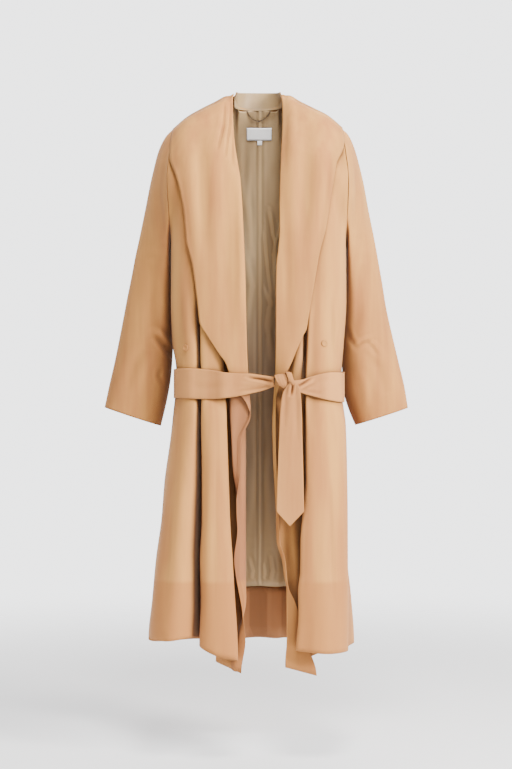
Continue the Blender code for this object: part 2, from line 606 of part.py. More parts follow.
def make_sleeve(name, side_line, rings, material):
    """Make a sleeve as a tube from the oval armhole to the straight cuff."""
    sign = 1 if rings[0][0] > 0 else -1
    middle = (ARMHOLE_TOP + ARMHOLE_BOTTOM) / 2
    half = (ARMHOLE_TOP - ARMHOLE_BOTTOM) / 2
    rows = []
    first = []
    for i in range(SLEEVE_SIDES):
        angle = 2 * math.pi * i / SLEEVE_SIDES
        z = middle + half * math.cos(angle)
        side_x = side_x_at(side_line, z)
        first.append((side_x + sign * SLEEVE_CLEARANCE, ARMHOLE_HALF_DEPTH * math.sin(angle), z))
    rows.append(first)
    for outer_x, outer_z, inner_x, inner_z, middle_y, half_depth in rings:
        centre = Vector(((outer_x + inner_x) / 2, middle_y, (outer_z + inner_z) / 2))
        across = Vector(((outer_x - inner_x) / 2, 0, (outer_z - inner_z) / 2))
        ring = []
        for i in range(SLEEVE_SIDES):
            angle = 2 * math.pi * i / SLEEVE_SIDES
            ring.append(centre + across * math.cos(angle) + Vector((0, half_depth * math.sin(angle), 0)))
        rows.append(ring)
    cloth_object(name, rows, CLOTH, material, closed=True)


def collar_row(share, inset):
    """Points round the back of the neck at a share of the collar stand's height."""
    half_width = COLLAR_HALF_WIDTH + (COLLAR_TOP_HALF_WIDTH - COLLAR_HALF_WIDTH) * share - inset
    back_y = COLLAR_BACK_Y - inset
    row = []
    for step in range(COLLAR_STEPS + 1):
        angle = math.pi * (step / COLLAR_STEPS - 0.5)
        x = half_width * math.sin(angle)
        y = COLLAR_FRONT_Y + (back_y - COLLAR_FRONT_Y) * math.cos(angle) ** 0.8
        base = top_edge_height(x) + COLLAR_LIFT + COLLAR_SIDE_LIFT * (x / COLLAR_HALF_WIDTH) ** 4
        top = COLLAR_TOP - COLLAR_END_DROP * (1 - math.cos(angle))
        row.append((x, y, base + (top - base) * share))
    return row


def make_collar(camel, khaki):
    """Make the collar stand behind the neck and the facing inside it."""
    shares = (0, 0.5, 1)
    cloth_object("collar_stand", [collar_row(share, 0) for share in shares], CLOTH, camel)
    rows = [collar_row(share, COLLAR_FACING_INSET) for share in shares]
    cloth_object("neck_facing", rows, LINING_CLOTH, khaki)


def knot_reach(y, z):
    """Half width of the knot at a depth and height."""
    depth_share = (y - KNOT_CENTRE[1]) / KNOT_RADII[1]
    height_share = (z - KNOT_CENTRE[2]) / KNOT_RADII[2]
    return KNOT_RADII[0] * math.sqrt(max(0, 1 - depth_share ** 2 - height_share ** 2))


def make_sash(material):
    """Make the sash round the waist, with both ends cut to the knot's shape."""
    upper = smooth_path([(x, y, top) for x, y, top, _ in SASH], [2] * (len(SASH) - 1))
    lower = smooth_path([(x, y, bottom) for x, y, _, bottom in SASH], [2] * (len(SASH) - 1))
    rows = []
    for share in (0, 0.25, 0.5, 0.75, 1):
        row = [a.lerp(b, share) for a, b in zip(upper, lower)]
        for end, sign in ((0, -1), (-1, 1)):
            reach = knot_reach(row[end].y, row[end].z) + KNOT_CLEARANCE
            row[end].x = KNOT_CENTRE[0] + sign * max(reach, KNOT_SMALLEST_REACH)
        rows.append(row)
    cloth_object("sash_band", rows, SASH_CLOTH, material)


def make_tail(name, table, material):
    """Make a hanging end of the sash with its pointed tip."""
    rows = []
    for z, left, right, y in table:
        rows.append([(left + (right - left) * share, y, z) for share in (0, 0.2, 0.5, 0.8, 1)])
    cloth_object(name, rows, SASH_CLOTH, material)


def make_knot(material):
    """Make the tightly wrapped knot of the sash as one rounded body."""
    bm = bmesh.new()
    bmesh.ops.create_uvsphere(bm, u_segments=16, v_segments=10, radius=1)
    bmesh.ops.scale(bm, vec=KNOT_RADII, verts=bm.verts)
    bmesh.ops.translate(bm, vec=KNOT_CENTRE, verts=bm.verts)
    mesh_object("sash_knot", bm, material)


def point_at_x(row, x):
    """Point of a row at an x."""
    for a, b in zip(row, row[1:]):
        if a.x <= x <= b.x:
            return a.lerp(b, (x - a.x) / (b.x - a.x))
    return row[-1]


def lining_depth(x, z):
    """Depth of the middle of the lining's wall at a place on it."""
    line = [point_at_x(row, x) for row in lining_rows()]
    for a, b in zip(line, line[1:]):
        if b.z <= z <= a.z:
            return a.y + (b.y - a.y) * (z - a.z) / (b.z - a.z)
    return line[0].y


def make_label(name, x_range, z_range, lift, material):
    """Make a sewn-in label from points of the lining, moved out of it."""
    rows = []
    for share_z in (0, 0.5, 1):
        z = z_range[0] + (z_range[1] - z_range[0]) * share_z
        row = []
        for share_x in (0, 0.25, 0.5, 0.75, 1):
            x = x_range[0] + (x_range[1] - x_range[0]) * share_x
            row.append((x, lining_depth(x, z) - lift, z))
        rows.append(row)
    cloth_object(name, rows, LABEL_CLOTH, material)


def make_chain(material):
    """Make the hanger chain as one cord with both ends held at the neck seam."""
    curve = bpy.data.curves.new("hanger_chain", "CURVE")
    curve.dimensions = "3D"
    curve.bevel_depth = CHAIN_RADIUS * MM
    curve.bevel_resolution = 2
    curve.use_fill_caps = True
    spline = curve.splines.new("POLY")
    spline.points.add(len(CHAIN_POINTS) - 1)
    for point, (x, z) in zip(spline.points, CHAIN_POINTS):
        y = lining_depth(x, z) - LINING_CLOTH / 2 - CHAIN_RADIUS - CHAIN_LIFT
        point.co = (x * MM, y * MM, z * MM, 1)
    curve.materials.append(material)
    obj = bpy.data.objects.new("hanger_chain", curve)
    bpy.data.collections[COLLECTION].objects.link(obj)


def make_button(name, place, side_line, lines, free_edge, material):
    """Make a flat covered button that lies on the outer panel of a front."""
    x, z = place
    places = []
    for level in (z + BUTTON_RADIUS, z - BUTTON_RADIUS):
        row = front_row(side_line, lines, free_edge, level)
        index = next(i for i, point in enumerate(row) if abs(point.x) < abs(x))
        before = row[index - 1]
        after = row[index]
        places.append(before.lerp(after, (x - before.x) / (after.x - before.x)))
    middle = (places[0] + places[1]) / 2
    normal = (after - before).cross(places[0] - places[1]).normalized()
    if normal.y > 0:
        normal = -normal
    bm = bmesh.new()
    bmesh.ops.create_cone(bm, cap_ends=True, segments=20, radius1=BUTTON_RADIUS,
                          radius2=BUTTON_TOP_RADIUS, depth=BUTTON_HEIGHT)
    turn = Vector((0, 0, 1)).rotation_difference(normal).to_matrix()
    bmesh.ops.rotate(bm, matrix=turn, verts=bm.verts)
    lift = CLOTH / 2 + BUTTON_HEIGHT / 2 + BUTTON_GAP
    bmesh.ops.translate(bm, vec=middle + normal * lift, verts=bm.verts)
    mesh_object(name, bm, material)


def clear_scene():
    """Remove everything in the scene and add the coat's collection."""
    for obj in list(bpy.data.objects):
        bpy.data.objects.remove(obj, do_unlink=True)
    collection = bpy.data.collections.new(COLLECTION)
    bpy.context.scene.collection.children.link(collection)


def main():
    clear_scene()
    camel = make_material("camel twill", CAMEL, 0.8)
    camel_inside = make_material("camel twill inside", CAMEL_LIGHT, 0.85)
    khaki = make_material("khaki lining", KHAKI, 0.55)
    white = make_material("white label", WHITE, 0.6)
    metal = make_material("gunmetal", GUNMETAL, 0.35, 1)
    right = (RIGHT_SIDE, RIGHT_FRONT, RIGHT_FREE_EDGE)
    left = (LEFT_SIDE, LEFT_FRONT, LEFT_FREE_EDGE)
    make_front("right_front", *right, camel)
    make_front("left_front", *left, camel)
    make_back(camel)
    make_lining(khaki)
    make_hem_facing(camel_inside)
    make_sleeve("right_sleeve", RIGHT_SIDE, RIGHT_SLEEVE, camel)
    make_sleeve("left_sleeve", LEFT_SIDE, LEFT_SLEEVE, camel)
    make_collar(camel, khaki)
    make_sash(camel)
    make_knot(camel)
    make_tail("sash_tail", SASH_TAIL, camel)
    make_tail("sash_under_tail", SASH_UNDER_TAIL, camel)
    make_label("neck_label", LABEL_X, LABEL_Z, LABEL_LIFT, white)
    make_label("size_label", SIZE_LABEL_X, SIZE_LABEL_Z, LABEL_LIFT, white)
    make_chain(metal)
    make_button("right_button", RIGHT_BUTTON, *right, camel)
    make_button("left_button", LEFT_BUTTON, *left, camel)


main()
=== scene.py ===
import math

import bmesh
import bpy
import numpy as np
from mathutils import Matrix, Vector, noise


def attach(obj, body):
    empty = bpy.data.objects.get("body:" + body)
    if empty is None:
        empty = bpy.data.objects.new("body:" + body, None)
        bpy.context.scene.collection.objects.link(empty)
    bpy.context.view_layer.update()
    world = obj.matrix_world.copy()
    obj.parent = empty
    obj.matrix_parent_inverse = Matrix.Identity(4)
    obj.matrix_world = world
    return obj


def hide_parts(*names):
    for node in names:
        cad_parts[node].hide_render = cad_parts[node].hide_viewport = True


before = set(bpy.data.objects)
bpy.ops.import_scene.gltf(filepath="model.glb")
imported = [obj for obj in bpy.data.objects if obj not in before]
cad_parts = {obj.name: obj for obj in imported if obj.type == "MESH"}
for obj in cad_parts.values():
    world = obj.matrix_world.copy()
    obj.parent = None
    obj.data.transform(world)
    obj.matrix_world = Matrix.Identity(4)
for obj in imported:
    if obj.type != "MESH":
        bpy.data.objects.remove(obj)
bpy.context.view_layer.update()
mm = 0.001
print("frame loaded, with", len(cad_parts), "nodes")


bodyShape = {
    "neckLevel": 24,        # the row that lies along the shoulder seams
    "chestLevel": -250,     # rows below run level, rows above rise to the shoulders
    "hemLevel": -1140,
    "hemBendLevel": -1000,  # rows below dip towards the uneven hem
    "armholeTop": -51,
    "armholeBottom": -301,
    "armholeHalfDepth": 70,
    "sideSeamY": -10,
    "seamGap": 0.4,
    "rowSpacing": 7,
    "closeRows": (-60, 20),  # rows come closer together between these levels
    "closeRowShare": 0.6,
    "edgeHalvings": 30,      # steps that find a height on the armhole's edge
    "topEdge": ((0, 0), (43, 4), (56, 23), (104, -2), (147, -23), (175, -43), (190, -56)),
    "rightSide": ((24, -182), (-60, -189), (-120, -192), (-300, -187), (-418, -187), (-501, -185),
                  (-559, -176), (-600, -174), (-634, -179), (-717, -188), (-803, -200), (-888, -207),
                  (-974, -219), (-1059, -227), (-1143, -235)),
    "leftSide": ((24, 179), (-60, 185), (-120, 189), (-300, 187), (-418, 188), (-516, 182),
                 (-570, 178), (-608, 177), (-647, 182), (-685, 187), (-803, 190), (-974, 190), (-1061, 193),
                 (-1160, 192)),
}
armholeMiddle = (bodyShape["armholeTop"] + bodyShape["armholeBottom"]) / 2
armholeHalf = (bodyShape["armholeTop"] - bodyShape["armholeBottom"]) / 2


def readLine(rows, level):
    # x and y of a line at a level, smooth and without overshoot between its rows
    rows = sorted(rows, key=lambda row: row[0])
    if level <= rows[0][0]:
        return rows[0][1:]
    if level >= rows[-1][0]:
        return rows[-1][1:]
    index = max(i for i in range(len(rows) - 1) if rows[i][0] <= level)
    span = rows[index + 1][0] - rows[index][0]
    t = (level - rows[index][0]) / span
    values = []
    for column in range(1, len(rows[0])):
        startSlope = lineSlope(rows, index, column) * span
        endSlope = lineSlope(rows, index + 1, column) * span
        values.append((2 * t ** 3 - 3 * t ** 2 + 1) * rows[index][column]
                      + (t ** 3 - 2 * t ** 2 + t) * startSlope
                      + (3 * t ** 2 - 2 * t ** 3) * rows[index + 1][column]
                      + (t ** 3 - t ** 2) * endSlope)
    return tuple(values)


def lineSlope(rows, index, column):
    if index == 0 or index == len(rows) - 1:
        return 0
    below = (rows[index][column] - rows[index - 1][column]) / (rows[index][0] - rows[index - 1][0])
    above = (rows[index + 1][column] - rows[index][column]) / (rows[index + 1][0] - rows[index][0])
    if below * above <= 0:
        return 0
    return 2 * below * above / (below + above)


def shareBetween(value, start, end):
    # 0 at start, 1 at end, straight between them
    return min(max((value - start) / (end - start), 0), 1)


def fade(value, start, end):
    # 0 at start, 1 at end, eased at both
    share = shareBetween(value, start, end)
    return share * share * (3 - 2 * share)


def topEdgeHeight(x):
    edge = bodyShape["topEdge"]
    for (xIn, zIn), (xOut, zOut) in zip(edge, edge[1:]):
        if abs(x) <= xOut:
            return zIn + (zOut - zIn) * (abs(x) - xIn) / (xOut - xIn)
    return edge[-1][1]


def clothHeight(x, level):
    share = fade(level, bodyShape["chestLevel"], bodyShape["neckLevel"])
    return level + (topEdgeHeight(x) - bodyShape["neckLevel"]) * share


def hemmedLevel(level, hem):
    # the lowest rows move down or up to a line's own hem height
    share = shareBetween(level, bodyShape["hemBendLevel"], bodyShape["hemLevel"])
    return level + (hem - bodyShape["hemLevel"]) * share * share


def armholeDepth(z):
    if z <= bodyShape["armholeBottom"]:
        return bodyShape["sideSeamY"]
    share = (z - armholeMiddle) / armholeHalf
    return bodyShape["armholeHalfDepth"] * math.sqrt(max(0, 1 - share ** 2))


def sideXAt(sideLine, z):
    # x of the armhole edge or side seam at a height
    low, high = bodyShape["hemLevel"], bodyShape["neckLevel"]
    for _ in range(bodyShape["edgeHalvings"]):
        level = (low + high) / 2
        x = readLine(sideLine, level)[0]
        if clothHeight(x, level) > z:
            high = level
        else:
            low = level
    return x


def smoothPath(points, steps, shortest=0.001):
    # a centripetal curve through points, with a number of steps for each span
    points = [Vector(point) for point in points]
    path = [points[0]]
    for i, stepCount in enumerate(steps):
        start, end = points[i], points[i + 1]
        before = points[i - 1] if i else start * 2 - end
        after = points[i + 2] if i + 2 < len(points) else end * 2 - start
        four = (before, start, end, after)
        knots = [0]
        for a, b in zip(four, four[1:]):
            knots.append(knots[-1] + max((b - a).length, shortest) ** 0.5)
        for step in range(1, stepCount + 1):
            t = knots[1] + (knots[2] - knots[1]) * step / stepCount
            first = [between(four[k], four[k + 1], knots[k], knots[k + 1], t) for k in range(3)]
            second = [between(first[k], first[k + 1], knots[k], knots[k + 2], t) for k in range(2)]
            path.append(between(second[0], second[1], knots[1], knots[2], t))
    return path


def between(a, b, start, end, t):
    return a * ((end - t) / (end - start)) + b * ((t - start) / (end - start))


def rowLevels(spacing, low=None, high=None):
    # levels from the shoulders to the hem, closer together near the neck
    high = bodyShape["neckLevel"] if high is None else high
    low = bodyShape["hemLevel"] if low is None else low
    levels = [high]
    while levels[-1] > low + spacing:
        near = fade(levels[-1], *bodyShape["closeRows"])
        levels.append(levels[-1] - spacing * (1 - bodyShape["closeRowShare"] * near))
    return levels[:-1] + [low]


def toGrid(rows):
    return np.array([[tuple(point) for point in row] for row in rows])


def unit(vectors, shortest=1e-9):
    length = np.linalg.norm(vectors, axis=-1, keepdims=True)
    return vectors / np.maximum(length, shortest)


def clothNormals(grid, closed=False, foldedBack=0.3):
    # the sheet's direction at each place, also where a row turns back on itself
    if closed:
        before, after = np.roll(grid, 1, axis=1), np.roll(grid, -1, axis=1)
    else:
        before = np.concatenate((grid[:, :1], grid[:, :-1]), axis=1)
        after = np.concatenate((grid[:, 1:], grid[:, -1:]), axis=1)
    along = unit(grid - before) + unit(after - grid)
    sharp = np.linalg.norm(along, axis=-1, keepdims=True) < foldedBack
    along = np.where(sharp, after - before, along)
    down = np.concatenate((grid[1:], grid[-1:])) - np.concatenate((grid[:1], grid[:-1]))
    return unit(np.cross(along, down))


creaseShape = {
    "rim": 0.3, "rimPlace": 2, "rimWidth": 0.9,    # the low rim beside a trough or ridge, in its widths
    "ends": (0.02, 0.98),                          # the share of its length that it shows on
    "edgeColumns": 3, "edgeStart": 0.34,           # how a crease dies out at the sheet's side edges
    "turnedGain": 3,                               # how fast it comes in where the cloth turns to the viewer
    "wobbleSize": 70, "deepest": 9,
}


def creaseLift(grid, width, height, path, taper=0.7):
    # How far each place of a sheet moves for one crease: its width, its height (negative for a trough),
    # the places in x and z that it runs through, and how long it takes to die out at both ends.
    path = [np.array(point, float) for point in path]
    spans = [np.linalg.norm(b - a) for a, b in zip(path, path[1:])]
    nearest = np.full(grid.shape[:2], np.inf)
    place = np.zeros(grid.shape[:2])
    passed = 0
    flat = grid[..., (0, 2)]
    for a, b, span in zip(path, path[1:], spans):
        share = np.clip(((flat - a) @ (b - a)) / (span * span), 0, 1)
        distance = np.linalg.norm(flat - (a + share[..., None] * (b - a)), axis=-1)
        closer = distance < nearest
        nearest = np.where(closer, distance, nearest)
        place = np.where(closer, (passed + share * span) / sum(spans), place)
        passed += span
    across = nearest / width
    ends = np.sin(np.pi * np.clip(place, *creaseShape["ends"])) ** taper
    rim = np.exp(-((across - creaseShape["rimPlace"]) / creaseShape["rimWidth"]) ** 2)
    return height * ends * (np.exp(-across ** 2) - creaseShape["rim"] * rim)


def pressCreases(grid, creases, outward, wobble, closed=False, around=False, columns=(0, 1),
                 deepest=creaseShape["deepest"]):
    # Push soft troughs and ridges into a sheet, seen along the y axis, and an unevenness of wobble mm.
    # outward is -1 for the side that faces the viewer and 1 for the side that faces away.
    normals = clothNormals(grid, closed)
    if closed or around:
        # normals point out of a tube, and only its near or far half is pressed
        middle = len(grid) // 2
        normals = normals * np.sign(normals[middle, np.argmax(grid[middle, :, 1]), 1])
        facing = normals[..., 1] * outward
    else:
        normals = normals * np.where(normals[..., 1:2] * outward < 0, -1, 1)
        facing = np.abs(normals[..., 1])
    lift = np.zeros(grid.shape[:2])
    for crease in creases:
        lift += np.where(facing > 0, creaseLift(grid, *crease), 0)
    if wobble:
        lift += wobble * np.array([[noise.noise(Vector(point) / creaseShape["wobbleSize"]) for point in row]
                                   for row in grid])
    first, last = (int(round(share * (grid.shape[1] - 1))) for share in columns)
    column = np.arange(grid.shape[1])
    inside = 1
    for steps in (column - first, last - column):
        inside = inside * np.clip(steps / creaseShape["edgeColumns"] + creaseShape["edgeStart"], 0, 1)
    turned = np.clip(np.abs(facing) * creaseShape["turnedGain"], 0, 1)
    lift = np.maximum(lift, -deepest) * inside[None, :] * turned
    return grid + normals * lift[..., None]


def sheetMesh(name, grid, thickness, material, closed=False):
    piece = finishMesh(name, *sheetShell(grid, thickness, closed), material)
    # painted light: this fold measure goes to the material, which lightens crests and darkens troughs
    paintedFoldLight = foldLightRelief(np.asarray(grid, float), closed).reshape(-1)
    attribute = piece.data.attributes.new("paintedFoldLight", "FLOAT", "POINT")
    attribute.data.foreach_set("value", np.concatenate((paintedFoldLight, -paintedFoldLight)))
    return piece


def foldLightRelief(grid, closed, columns=2, rows=1):
    # how far each place lies under the cloth around it, for the painted highlight on fold crests and the
    # painted shade in fold troughs
    padded = np.pad(grid, ((rows, rows), (0, 0), (0, 0)), mode="edge")
    above, below = padded[:-2 * rows], padded[2 * rows:]
    if closed:
        left, right = np.roll(grid, columns, axis=1), np.roll(grid, -columns, axis=1)
    else:
        padded = np.pad(grid, ((0, 0), (columns, columns), (0, 0)), mode="edge")
        left, right = padded[:, :-2 * columns], padded[:, 2 * columns:]
    depth = (((left + right) / 2 - grid) + ((above + below) / 2 - grid)) * clothNormals(grid, closed)
    paintedFoldLight = depth.sum(axis=-1)
    if not closed:
        paintedFoldLight[:, :columns] = 0
        paintedFoldLight[:, -columns:] = 0
    paintedFoldLight[:rows] = 0
    paintedFoldLight[-rows:] = 0
    return paintedFoldLight


def sheetShell(grid, thickness, closed=False):
    # two faces one cloth thickness apart, joined round the edges
    grid = np.asarray(grid, float)
    normals = clothNormals(grid, closed)
    height, width = grid.shape[:2]
    faces = []
    verts = np.concatenate(((grid + normals * thickness / 2).reshape(-1, 3),
                            (grid - normals * thickness / 2).reshape(-1, 3)))
    half = height * width
    for r in range(height - 1):
        for i in range(width if closed else width - 1):
            j = (i + 1) % width
            a, b, c, d = r * width + i, r * width + j, (r + 1) * width + j, (r + 1) * width + i
            faces.append((a, b, c, d))
            faces.append((half + a, half + d, half + c, half + b))
    for r in (0, height - 1):
        for i in range(width if closed else width - 1):
            j = (i + 1) % width
            a, b = r * width + i, r * width + j
            faces.append((a, half + a, half + b, b))
    if not closed:
        for i in (0, width - 1):
            for r in range(height - 1):
                a, b = r * width + i, (r + 1) * width + i
                faces.append((a, b, half + b, half + a))
    return verts, faces


def finishMesh(name, verts, faces, material):
    mesh = bpy.data.meshes.new(name)
    mesh.from_pydata([tuple(point * mm for point in vert) for vert in verts], [], faces)
    bm = bmesh.new()
    bm.from_mesh(mesh)
    bmesh.ops.recalc_face_normals(bm, faces=bm.faces)
    bm.to_mesh(mesh)
    bm.free()
    mesh.shade_smooth()
    mesh.materials.append(material)
    piece = bpy.data.objects.new(name, mesh)
    bpy.context.scene.collection.objects.link(piece)
    return piece


def dress(piece, slotName, *nodes):
    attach(piece, "root")
    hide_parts(*nodes)
    return piece


def addNode(tree, kind, **values):
    # a node whose inputs are fixed values or the outputs of other nodes
    node = tree.nodes.new(kind)
    for name, value in values.items():
        if name not in node.inputs.keys():
            setattr(node, name, value)
        elif isinstance(value, bpy.types.NodeSocket):
            tree.links.new(value, node.inputs[name])
        else:
            node.inputs[name].default_value = value
    return node


def addRange(tree, value, start, end, low=0.0, high=1.0, ease="SMOOTHSTEP"):
    # low where the value is start, high where it is end
    spread = addNode(tree, "ShaderNodeMapRange", interpolation_type=ease, Value=value)
    for name, number in (("From Min", start), ("From Max", end), ("To Min", low), ("To Max", high)):
        spread.inputs[name].default_value = number
    return spread.outputs["Result"]


def addMix(tree, factor, first, second):
    # from the first colour to the second, each a fixed colour or the output of a node
    first, second = ((*color, 1) if isinstance(color, tuple) else color for color in (first, second))
    mix = addNode(tree, "ShaderNodeMix", data_type="RGBA", Factor=factor, A=first, B=second)
    return mix.outputs["Result"]


def startMaterial(name, values):
    # a new material, with its node tree, its shader and the places on the piece
    material = bpy.data.materials.new(name)
    material.use_nodes = True
    tree = material.node_tree
    shader = tree.nodes["Principled BSDF"]
    for socket, value in values.items():
        shader.inputs[socket].default_value = value
    return material, tree, shader, addNode(tree, "ShaderNodeTexCoord").outputs["Object"]


weave = {
    "toneRange": (0.36, 0.64), "toneDetail": 3.0, "toneRoughness": 0.55, "sheenRoughness": 0.5,
    "hemEase": 6,           # how softly the hem's band begins
    "hollowSamples": 8, "twillDistortion": 1.2, "twillDetail": 2.0, "twillDepth": 0.4,
    "napDetail": 4.0, "napRoughness": 0.6, "napDepth": 1.2,
}


def clothMaterial(name, look):
    material, tree, shader, place = startMaterial(name, {
        "Roughness": look["roughness"], "Specular IOR Level": look["specular"], "Sheen Weight": look["sheen"],
        "Sheen Roughness": weave["sheenRoughness"], "Sheen Tint": look["sheenTint"]})
    height = addNode(tree, "ShaderNodeSeparateXYZ", Vector=place).outputs["Z"]
    # broad uneven tone, then the hem's warmer band where the cloth is turned up behind
    stretched = addNode(tree, "ShaderNodeMapping", Vector=place, Scale=(1, 1, look["toneStretch"]))
    broad = addNode(tree, "ShaderNodeTexNoise", Vector=stretched.outputs["Vector"], Scale=look["toneScale"],
                    Detail=weave["toneDetail"], Roughness=weave["toneRoughness"])
    tone = addRange(tree, broad.outputs["Fac"], *weave["toneRange"], ease="LINEAR")
    color = addMix(tree, tone, look["dark"], look["light"])
    if look["hem"]:
        hemTop, hemEase = look["hemTop"] * mm, weave["hemEase"] * mm
        band = addRange(tree, height, hemTop + hemEase, hemTop - hemEase, high=look["hemShare"])
        color = addMix(tree, band, color, look["hem"])
    # painted shade: the lining darkens in a band down its middle heights, where the fronts and the sash shade
    # it
    if look["shade"]:
        color = addPaintedShade(tree, height, color, look)
    # painted highlight on the crests of folds and creases, and painted shade in their troughs
    paintedFoldLight = addNode(tree, "ShaderNodeAttribute", attribute_name="paintedFoldLight").outputs["Fac"]
    gain = addRange(tree, paintedFoldLight, -look["reliefSpan"], look["reliefSpan"],
                    1 + look["paintedLightGain"], 1 - look["paintedLightGain"], ease="LINEAR")
    color = addNode(tree, "ShaderNodeHueSaturation", Value=gain, Color=color).outputs["Color"]
    # painted shade: the colour is pulled towards a dark shade colour down in the folds, where the occlusion
    # test finds cloth close by
    hollow = addNode(tree, "ShaderNodeAmbientOcclusion", Distance=look["foldReach"],
                     samples=weave["hollowSamples"])
    depth = addRange(tree, hollow.outputs["AO"], look["foldOpen"], look["foldClosed"], high=look["foldShadeShare"])
    tree.links.new(addMix(tree, depth, color, look["deep"]), shader.inputs["Base Color"])
    # twill lines on the diagonal, broken by a fine nap
    slant = (0, math.radians(look["twillAngle"]), 0)
    turned = addNode(tree, "ShaderNodeMapping", Vector=place, Rotation=slant)
    twill = addNode(tree, "ShaderNodeTexWave", Vector=turned.outputs["Vector"], Scale=look["twillScale"],
                    Distortion=weave["twillDistortion"], Detail=weave["twillDetail"])
    nap = addNode(tree, "ShaderNodeTexNoise", Vector=place, Scale=look["napScale"],
                  Detail=weave["napDetail"], Roughness=weave["napRoughness"])
    twillBump = addNode(tree, "ShaderNodeBump", Strength=look["twillBump"], Distance=weave["twillDepth"] * mm,
                        Height=twill.outputs["Fac"])
    napBump = addNode(tree, "ShaderNodeBump", Strength=look["napBump"], Distance=weave["napDepth"] * mm,
                      Height=nap.outputs["Fac"], Normal=twillBump.outputs["Normal"])
    tree.links.new(napBump.outputs["Normal"], shader.inputs["Normal"])
    return material


def addPaintedShade(tree, height, color, look):
    # painted shade: a deeper tone that comes in between the first two levels and goes out between the last
    # two
    first, full, fullEnd, last = (level * mm for level in look["shadeLevels"])
    both = addNode(tree, "ShaderNodeMath", operation="MULTIPLY")
    tree.links.new(addRange(tree, height, first, full, high=look["shadeShare"]), both.inputs[0])
    tree.links.new(addRange(tree, height, last, fullEnd), both.inputs[1])
    return addMix(tree, both.outputs["Value"], color, look["shade"])


def metalMaterial(name, look):
    material, tree, shader, place = startMaterial(name, {"Metallic": 1, "Roughness": look["roughness"]})
    wear = addNode(tree, "ShaderNodeTexNoise", Vector=place, Scale=look["wearScale"],
                   Detail=look["wearDetail"])
    color = addMix(tree, wear.outputs["Fac"], look["dark"], look["light"])
    tree.links.new(color, shader.inputs["Base Color"])
    return material


camelLook = {
    "dark": (0.40, 0.164, 0.048), "light": (0.505, 0.238, 0.061), "toneScale": 22.0, "toneStretch": 0.12,
    "hem": (0.375, 0.148, 0.040), "hemTop": -1010, "hemShare": 0.7, "shade": None,
    "roughness": 0.86, "specular": 0.18, "sheen": 0.1, "sheenTint": (1, 0.86, 0.72, 1),
    "twillAngle": 45, "twillScale": 420.0, "twillBump": 0.25, "napScale": 320.0, "napBump": 0.12,
    "reliefSpan": 0.8, "paintedLightGain": 0.14,
    # painted shade in the folds: the reach and thresholds of the occlusion test, how strong it is, and the
    # shade colour
    "foldReach": 0.08, "foldOpen": 0.82, "foldClosed": 0.25, "foldShadeShare": 0.85, "deep": (0.13, 0.05, 0.018),
}
plainCamel = {**camelLook, "hem": None}
camel = clothMaterial("camel twill", camelLook)
# painted shade: a darker copy of the camel for the hem facing deep inside the coat
camelInsideShaded = clothMaterial("camel twill, hem inside", {
    **plainCamel, "dark": (0.25, 0.102, 0.04), "light": (0.31, 0.13, 0.05), "foldReach": 0.1})
# the reverse of the cloth, partly its own tone and partly painted shade: a darker copy of the camel
camelShadedReverse = clothMaterial("camel twill, reverse", {
    **camelLook, "dark": (0.27, 0.105, 0.042), "light": (0.33, 0.138, 0.054)})
buttonCamel = clothMaterial("camel twill, buttons", plainCamel)
sashCamel = clothMaterial("camel twill, sash", {
    **plainCamel, "dark": (0.42, 0.176, 0.056), "light": (0.505, 0.226, 0.070)})
# painted shade: the sleeves get a darker copy of the camel, and their painted fold shade reaches further
camelSleeveShaded = clothMaterial("camel twill, sleeves", {
    **plainCamel, "dark": (0.37, 0.15, 0.045), "light": (0.48, 0.222, 0.057),
    "foldReach": 0.15, "foldOpen": 0.88, "foldClosed": 0.3})
khakiLook = {
    "dark": (0.35, 0.225, 0.105), "light": (0.48, 0.33, 0.165), "toneScale": 18.0, "toneStretch": 0.15,
    # painted shade on the lining: its colour, the levels of its band and how strong it is
    "hem": None, "shade": (0.12, 0.062, 0.03), "shadeLevels": (-300, -590, -720, -1130), "shadeShare": 0.7,
    "roughness": 0.5, "specular": 0.4, "sheen": 0.1, "sheenTint": (1, 0.95, 0.85, 1),
    "twillAngle": 30, "twillScale": 700.0, "twillBump": 0.1, "napScale": 60.0, "napBump": 0.1,
    "reliefSpan": 0.8, "paintedLightGain": 0.2,
    "foldReach": 0.17, "foldOpen": 0.72, "foldClosed": 0.34, "foldShadeShare": 0.9, "deep": (0.09, 0.045, 0.022),
}
khaki = clothMaterial("khaki lining", khakiLook)
khakiFacing = clothMaterial("khaki neck facing", {
    **khakiLook, "shade": None, "dark": (0.30, 0.19, 0.088), "light": (0.40, 0.27, 0.128)})
labelWhite = clothMaterial("white label", {
    "dark": (0.96, 0.96, 0.95), "light": (0.98, 0.98, 0.98), "toneScale": 60.0, "toneStretch": 1.0,
    "hem": None, "shade": None, "roughness": 0.5, "specular": 0.4, "sheen": 0.0, "sheenTint": (1, 1, 1, 1),
    "twillAngle": 0, "twillScale": 900.0, "twillBump": 0.2, "napScale": 500.0, "napBump": 0.1,
    "reliefSpan": 0.8, "paintedLightGain": 0.1,
    "foldReach": 0.01, "foldOpen": 0.8, "foldClosed": 0.2, "foldShadeShare": 0.1, "deep": (0.5, 0.5, 0.5)})
gunmetal = metalMaterial("gunmetal", {
    "dark": (0.09, 0.075, 0.06), "light": (0.198, 0.165, 0.132), "roughness": 0.34,
    "wearScale": 900.0, "wearDetail": 3.0})
print("materials made")


